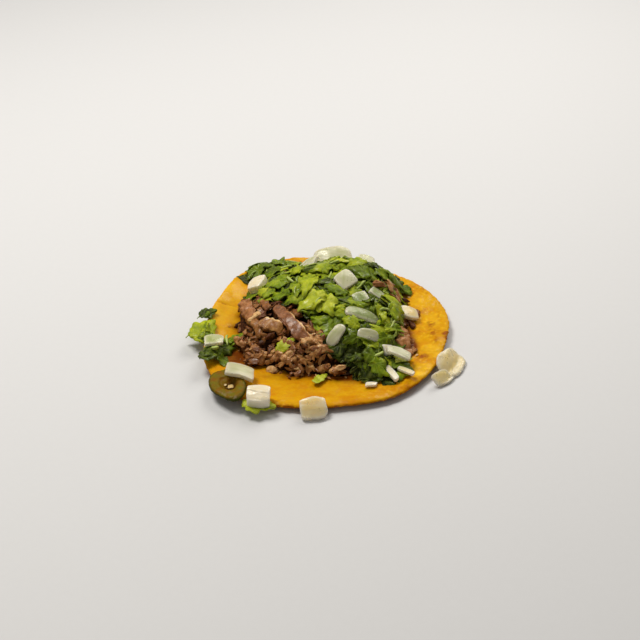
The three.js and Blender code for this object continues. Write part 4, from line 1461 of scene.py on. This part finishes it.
# Rings of an onion plate from its middle out: share of its reach, share of its thickness.
PLATE_RINGS = [(0.3, 1), (0.6, 1), (0.84, 1), (0.95, 0.99), (0.985, 0.95), (1, 0.86), (1.01, 0.6), (1, 0.2)]
PETAL_RINGS = [(0.3, 1), (0.6, 1), (0.8, 0.95), (0.9, 0.85), (0.96, 0.7), (0.99, 0.5), (1, 0.3), (1, 0.1)]
# Places in a triangle, spread evenly, as shares of its three corners.
TRIANGLE_SHARES = np.array([(i, j, 6 - i - j) for i in range(7) for j in range(7 - i)]) / 6


def plate_bow(corners, faces):
    """How a plate bows, as the height at its middle and its growth with x² and y², and its thickness."""
    x, y, z = np.einsum("sk,fkx->fsx", TRIANGLE_SHARES, corners[faces]).reshape(-1, 3).T
    terms = np.column_stack([np.ones(len(x)), x * x, y * y])
    bow = np.linalg.lstsq(terms, z, rcond=None)[0]
    return bow, 2 * np.percentile(np.abs(z - terms @ bow), 70)


def plate_outline(corners, petal, draw):
    """The outline of a plate: its solid's, rounded, with two knife cuts and an uneven edge."""
    hull = corners[geometry.convex_hull_2d([Vector(corner[:2]) for corner in corners]), :2]
    sides = np.roll(hull, -1, 0) - hull
    long_enough = np.hypot(*sides.T) > 0.2
    hull, sides = hull[long_enough], sides[long_enough]
    outward = np.column_stack([sides[:, 1], -sides[:, 0]]) / np.hypot(*sides.T)[:, None]
    away = (outward * hull).sum(1)
    angles = np.linspace(0, 2 * math.pi, PLATE_POINTS, endpoint=False)
    c, s = np.cos(angles), np.sin(angles)
    pressed = np.clip(outward @ (c, s) / away[:, None], 0, None)
    sharp, uneven = (PETAL_CORNERS, 0.05) if petal else (DICE_CORNERS, 0.025)
    reach = (pressed**sharp).sum(0) ** (-1 / sharp)
    for _ in range(2):
        beyond = np.clip(np.cos(angles - draw.uniform(*ANY_TURN)), 0.05, 1)
        reach = np.minimum(reach, draw.uniform(0.86, 0.98) * (pressed.max(0) ** -1).max() / beyond)
    phase = draw.uniform(*ANY_TURN)
    reach *= 1 + uneven * np.sin(3 * angles + phase) + 0.01 * np.sin(7 * angles + 2 * phase)
    outline = np.column_stack([reach * c, reach * s])
    return outline * (0.98 * np.abs(hull).max(0) / np.abs(outline).max(0))


def onion_plate(name, index, thinning):
    """A diced piece of one onion layer in the place and size of its solid, as a bowed plate with uneven
    cut edges. Returns vertices, triangles and marks."""
    mesh = NODES[name].data
    centre, axes, _ = own_axes(name)
    corners = (np.array([vertex.co / MM for vertex in mesh.vertices]) - centre) @ axes.T
    bow, thickness = plate_bow(corners, np.array([list(face.vertices) for face in mesh.polygons]))
    thickness = max(thickness - thinning, THINNEST_PLATE)
    petal = name in PETALS
    outline = plate_outline(corners, petal, random.Random(index))
    profile = PETAL_RINGS if petal else PLATE_RINGS
    rings, rim = [], []
    for side, order in ((1, profile), (-1, profile[::-1])):
        for share, full in order:
            x, y = (outline * share).T
            rise = bow[0] + bow[1] * x * x + bow[2] * y * y
            rings.append(np.column_stack([x, y, rise + side * thickness / 2 * full]))
            # rim is painted highlight, strongest at the outer edge
            rim += [share**5] * PLATE_POINTS
    local, faces = closed_tube(np.array(rings))
    fine, broad = noise_at(local * (0.1, 0.6, 0.1), 1.0, index, 1), noise_at(local, 4.5, index + 40, 1)
    local[:, 2] += fine * 0.12 + broad * 0.3
    local[:, :2] *= 1 + 0.02 * noise_at(local, 2.0, index + 80, 1)[:, None]
    return local @ axes + centre, faces[:, ::-1], {"grain": local, "rim": np.array([*rim, 0, 0])}


def droop(vertices, tortilla):
    """Lets the part of an onion plate that hangs over the tortilla's rim sag towards the table."""
    rings = np.arange(len(vertices) - 2).reshape(-1, PLATE_POINTS)
    other_side = np.concatenate([rings[::-1].ravel(), [len(vertices) - 1, len(vertices) - 2]])
    sag = np.zeros(len(vertices))
    for i, (x, y, z) in enumerate(vertices):
        if tortilla.top(x, y) is None:
            rim = tortilla.nearest((x, y, z))[0]
            beyond = math.hypot(x - rim.x, y - rim.y)
            sag[i] = 0.3 * beyond + 0.03 * beyond**2
    underside = np.minimum(vertices[:, 2], vertices[other_side, 2])
    vertices[:, 2] -= np.clip((sag + sag[other_side]) / 2, 0, np.maximum(underside - 0.2, 0))


class TACO_OT_onions(bpy.types.Operator):
    """Dice the onion: each piece keeps the place and the form of its solid"""

    bl_idname = "taco.onions"
    bl_label = "Diced onion"

    def execute(self, context):
        look = settings().onion
        plain = onion_finish(look, "onion_white", 0.3, 0.12, look.cream)
        finishes = {
            "clear": onion_finish(look, "onion_clear", 0.6, 0.35),
            "green": onion_finish(look, "onion_green", 1.0, 0.25),
            # painted light: the tortilla's yellow shining through these pieces
            "shine_through": onion_finish(look, "onion_yellow", 0.7, 0.3, look.shine_through),
            "leafy": onion_finish(look, "onion_leafy", 1.0, 0.35, look.leafy),
        }
        materials = {}
        for place, kinds in ONION_FINISHES.items():
            for kind, numbers in kinds.items():
                materials.update({f"{place}_onion_{number}": finishes[kind] for number in numbers})
        tortilla = Surface(["tortilla"])
        for index, name in enumerate(ONION_NODES):
            vertices, faces, marks = onion_plate(name, index, look.thinning / MM)
            droop(vertices, tortilla)
            piece = new_piece(f"diced_{name}", vertices, faces, materials.get(name, plain), marks)
            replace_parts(piece, name)
        return {"FINISHED"}


# ------------------------------------------------------------------ chilli


def chilli_finish(look):
    """Pickled green chilli: dark skin round the rim, olive flesh, a brown hollow round the seeds."""
    finish = Finish(
        "chilli_flesh", glow=(1.0, (0.7, 0.8, 0.2)), Subsurface_Weight=0.15, Specular_IOR_Level=0.08,
        Coat_Weight=0.03, Coat_Roughness=0.2
    )
    colour = finish.layered(
        look.flesh,
        (finish.ranged(finish.grain(260, 4), 0.38, 0.66), look.brown),
        (finish.mark("hollow"), look.hollow),
        (finish.mark("skin"), look.skin),
    )
    rough = finish.ranged(finish.grain(400, 2), 0.3, 0.7, 0.3, 0.55)
    normal = finish.bump(finish.grain(600), 0.14, 0.6)
    return finish.set(Base_Color=colour, Roughness=rough, Normal=normal)


def seed_finish(look):
    """Pale seeds, mottled with the colour of the flesh."""
    finish = Finish("chilli_seed", glow=(0.5, (1.0, 0.8, 0.5)), Roughness=0.35, Subsurface_Weight=0.3)
    fine = finish.grain(900)
    colour = finish.mixed(finish.ranged(fine, 0.3, 0.8, 0, 0.5), look.seed, look.flesh)
    return finish.set(Base_Color=colour, Normal=finish.bump(fine, 0.05, 0.5))


# The chilli's seeds: x, y and length. The hollow lies round the first.
SEEDS = [(-45.6, -52.8, 3.0), (-48.2, -51.4, 1.5)]
HOLLOW_REACH = 3.2
HOLLOW_DEPTH = 0.9


def chilli_ring(look):
    """Cuts the slice: a skin, a ridge of flesh and a hollow. Returns its upward axis."""
    points, normals, faces = remeshed(CHILLI_NODE, look.grain / MM, smoothing=2)
    centre, axes, half = own_axes(CHILLI_NODE)
    local = (points - centre) @ axes.T
    reach = np.hypot(local[:, 0] / half[0], local[:, 1] / half[1])
    up = normals @ axes[2]
    middle = (np.array([*SEEDS[0][:2], centre[2]]) - centre) @ axes.T
    from_seed = np.hypot(*(local - middle).T[:2]) + 0.5 * noise_at(local, 2.0, 9)
    hollow = np.exp(-((from_seed / HOLLOW_REACH) ** 4)) * (up > 0)
    ridge = np.exp(-(((from_seed - 5.2) / 1.3) ** 2)) + 0.6 * np.exp(-(((reach - 0.86) / 0.08) ** 2))
    wrinkles = noise_at(local, 3.0, 2) * 0.25 + noise_at(local, 1.1, 6) * 0.1
    skin = unit(1.2 - np.abs(up) * 1.6) + unit((reach - 0.84) * 6) + (up < -0.2)
    lift = wrinkles + (0.22 * ridge - HOLLOW_DEPTH * hollow) * unit(up)
    moved = points + normals * lift[:, None]
    marks = {"skin": unit(skin), "hollow": hollow, "grain": local}
    piece = new_piece("chilli_ring", moved, faces, chilli_finish(look), marks)
    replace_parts(piece, CHILLI_NODE)
    return Vector(axes[2])


class TACO_OT_chilli(bpy.types.Operator):
    """Cut the chilli slice and set its seeds"""

    bl_idname = "taco.chilli"
    bl_label = "Chilli slice"

    def execute(self, context):
        look, draw = settings().chilli, random.Random(settings().seed + 4)
        upward = chilli_ring(look)
        seeds, ground = Pile(), Surface(["chilli_ring"])
        for x, y, size in SEEDS:
            shape, triangles = ragged_strip(
                draw, size, 0.8 * size, 0.32 * size, bend=0, twist=0, steps=12, sides=12, rough=0.3
            )
            turn = frame_on(upward, draw.uniform(*ANY_TURN))
            seeds.add(turned(shape, turn, (x, y, ground.top(x, y) + 0.12 * size)), triangles, shape)
        seeds.piece("chilli_seeds", seed_finish(look), "chilli")
        return {"FINISHED"}


# ------------------------------------------------------------------ stage, in metres


FLOOR_REACH = 4.0
FLOOR_DROP = 0.0002  # keeps the floor out of the tortilla's underside
WARM_SKY = (1, 0.94, 0.85, 1)
WARM_LIGHT = (1, 0.95, 0.87)


def in_scene(name, data):
    """A new object in the scene."""
    made = bpy.data.objects.new(name, data)
    bpy.context.scene.collection.objects.link(made)
    return made


class TACO_OT_stage(bpy.types.Operator):
    """Set the pale floor, the soft lights and the camera"""

    bl_idname = "taco.stage"
    bl_label = "Floor, lights and camera"

    def execute(self, context):
        look, scene = settings().stage, context.scene
        self.lay_floor(look.floor)
        world = bpy.data.worlds.new("soft_light")
        world.use_nodes = True
        sky = world.node_tree.nodes["Background"].inputs
        sky["Color"].default_value = WARM_SKY
        sky["Strength"].default_value = look.sky
        scene.world = world
        self.hang_light("key_light", look.key, (-0.35, 0.25, 0.8), 0.35)
        self.hang_light("back_light", look.rim, (0.3, 0.6, 0.6), 0.5)
        scene.camera = self.set_camera(look)
        scene.view_settings.view_transform = "Standard"
        return {"FINISHED"}

    def lay_floor(self, colour):
        """A wide flat floor, a little mottled."""
        mesh = bpy.data.meshes.new("floor")
        corners = [(x * FLOOR_REACH, y * FLOOR_REACH, 0) for x, y in ((-1, -1), (1, -1), (1, 1), (-1, 1))]
        mesh.from_pydata(corners, [], [(0, 1, 2, 3)])
        finish = Finish("pale_floor", Roughness=0.6)
        dull = tuple(value * 0.97 for value in colour)
        mottled = finish.mixed(finish.grain(300), colour, dull)
        mesh.materials.append(finish.set(Base_Color=mottled))
        floor = in_scene("floor", mesh)
        floor.location.z = -FLOOR_DROP
        floor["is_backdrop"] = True

    def hang_light(self, name, power, place, size):
        """A square light that shines on the taco."""
        light = bpy.data.lights.new(name, "AREA")
        light.energy = power
        light.size = size
        light.color = WARM_LIGHT
        lamp = in_scene(name, light)
        lamp.location = place
        lamp.rotation_euler = (-Vector(place)).to_track_quat("-Z", "Y").to_euler()

    def set_camera(self, look):
        """A camera that looks down at the taco from the front."""
        camera = bpy.data.cameras.new("camera")
        camera.lens = look.lens
        camera.sensor_width = 36
        camera.clip_start = 0.01
        viewer = in_scene("camera", camera)
        back = Vector((0, -math.cos(look.elevation), math.sin(look.elevation)))
        viewer.location = Vector(look.aim) + back * look.distance
        viewer.rotation_euler = (math.pi / 2 - look.elevation, 0, 0)
        return viewer


# ------------------------------------------------------------------ panel and running


class TACO_PT_panel(bpy.types.Panel):
    """Lists the steps that build the taco"""

    bl_label = "Open taco"
    bl_idname = "TACO_PT_panel"
    bl_space_type = "VIEW_3D"
    bl_region_type = "UI"
    bl_category = "Taco"

    def draw(self, context):
        for step in STEPS:
            self.layout.operator(step.bl_idname)


STEPS = (
    TACO_OT_stage,
    TACO_OT_tortilla,
    TACO_OT_beef,
    TACO_OT_coriander,
    TACO_OT_loose_leaves,
    TACO_OT_onions,
    TACO_OT_chilli,
)
GROUPS = (
    TortillaSettings,
    BeefSettings,
    CorianderSettings,
    OnionSettings,
    ChilliSettings,
    StageSettings,
    TacoSettings,
)
CLASSES = (*GROUPS, *STEPS, TACO_PT_panel)


def register():
    for made in CLASSES:
        bpy.utils.register_class(made)
    bpy.types.Scene.taco = PointerProperty(type=TacoSettings)


def unregister():
    del bpy.types.Scene.taco
    for made in reversed(CLASSES):
        bpy.utils.unregister_class(made)


def main():
    register()
    for step in STEPS:
        group, name = step.bl_idname.split(".")
        getattr(getattr(bpy.ops, group), name)()
    cad, visual = ([list(corner) for corner in box] for box in (CAD_BOX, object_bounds()))


if __name__ == "__main__":
    main()
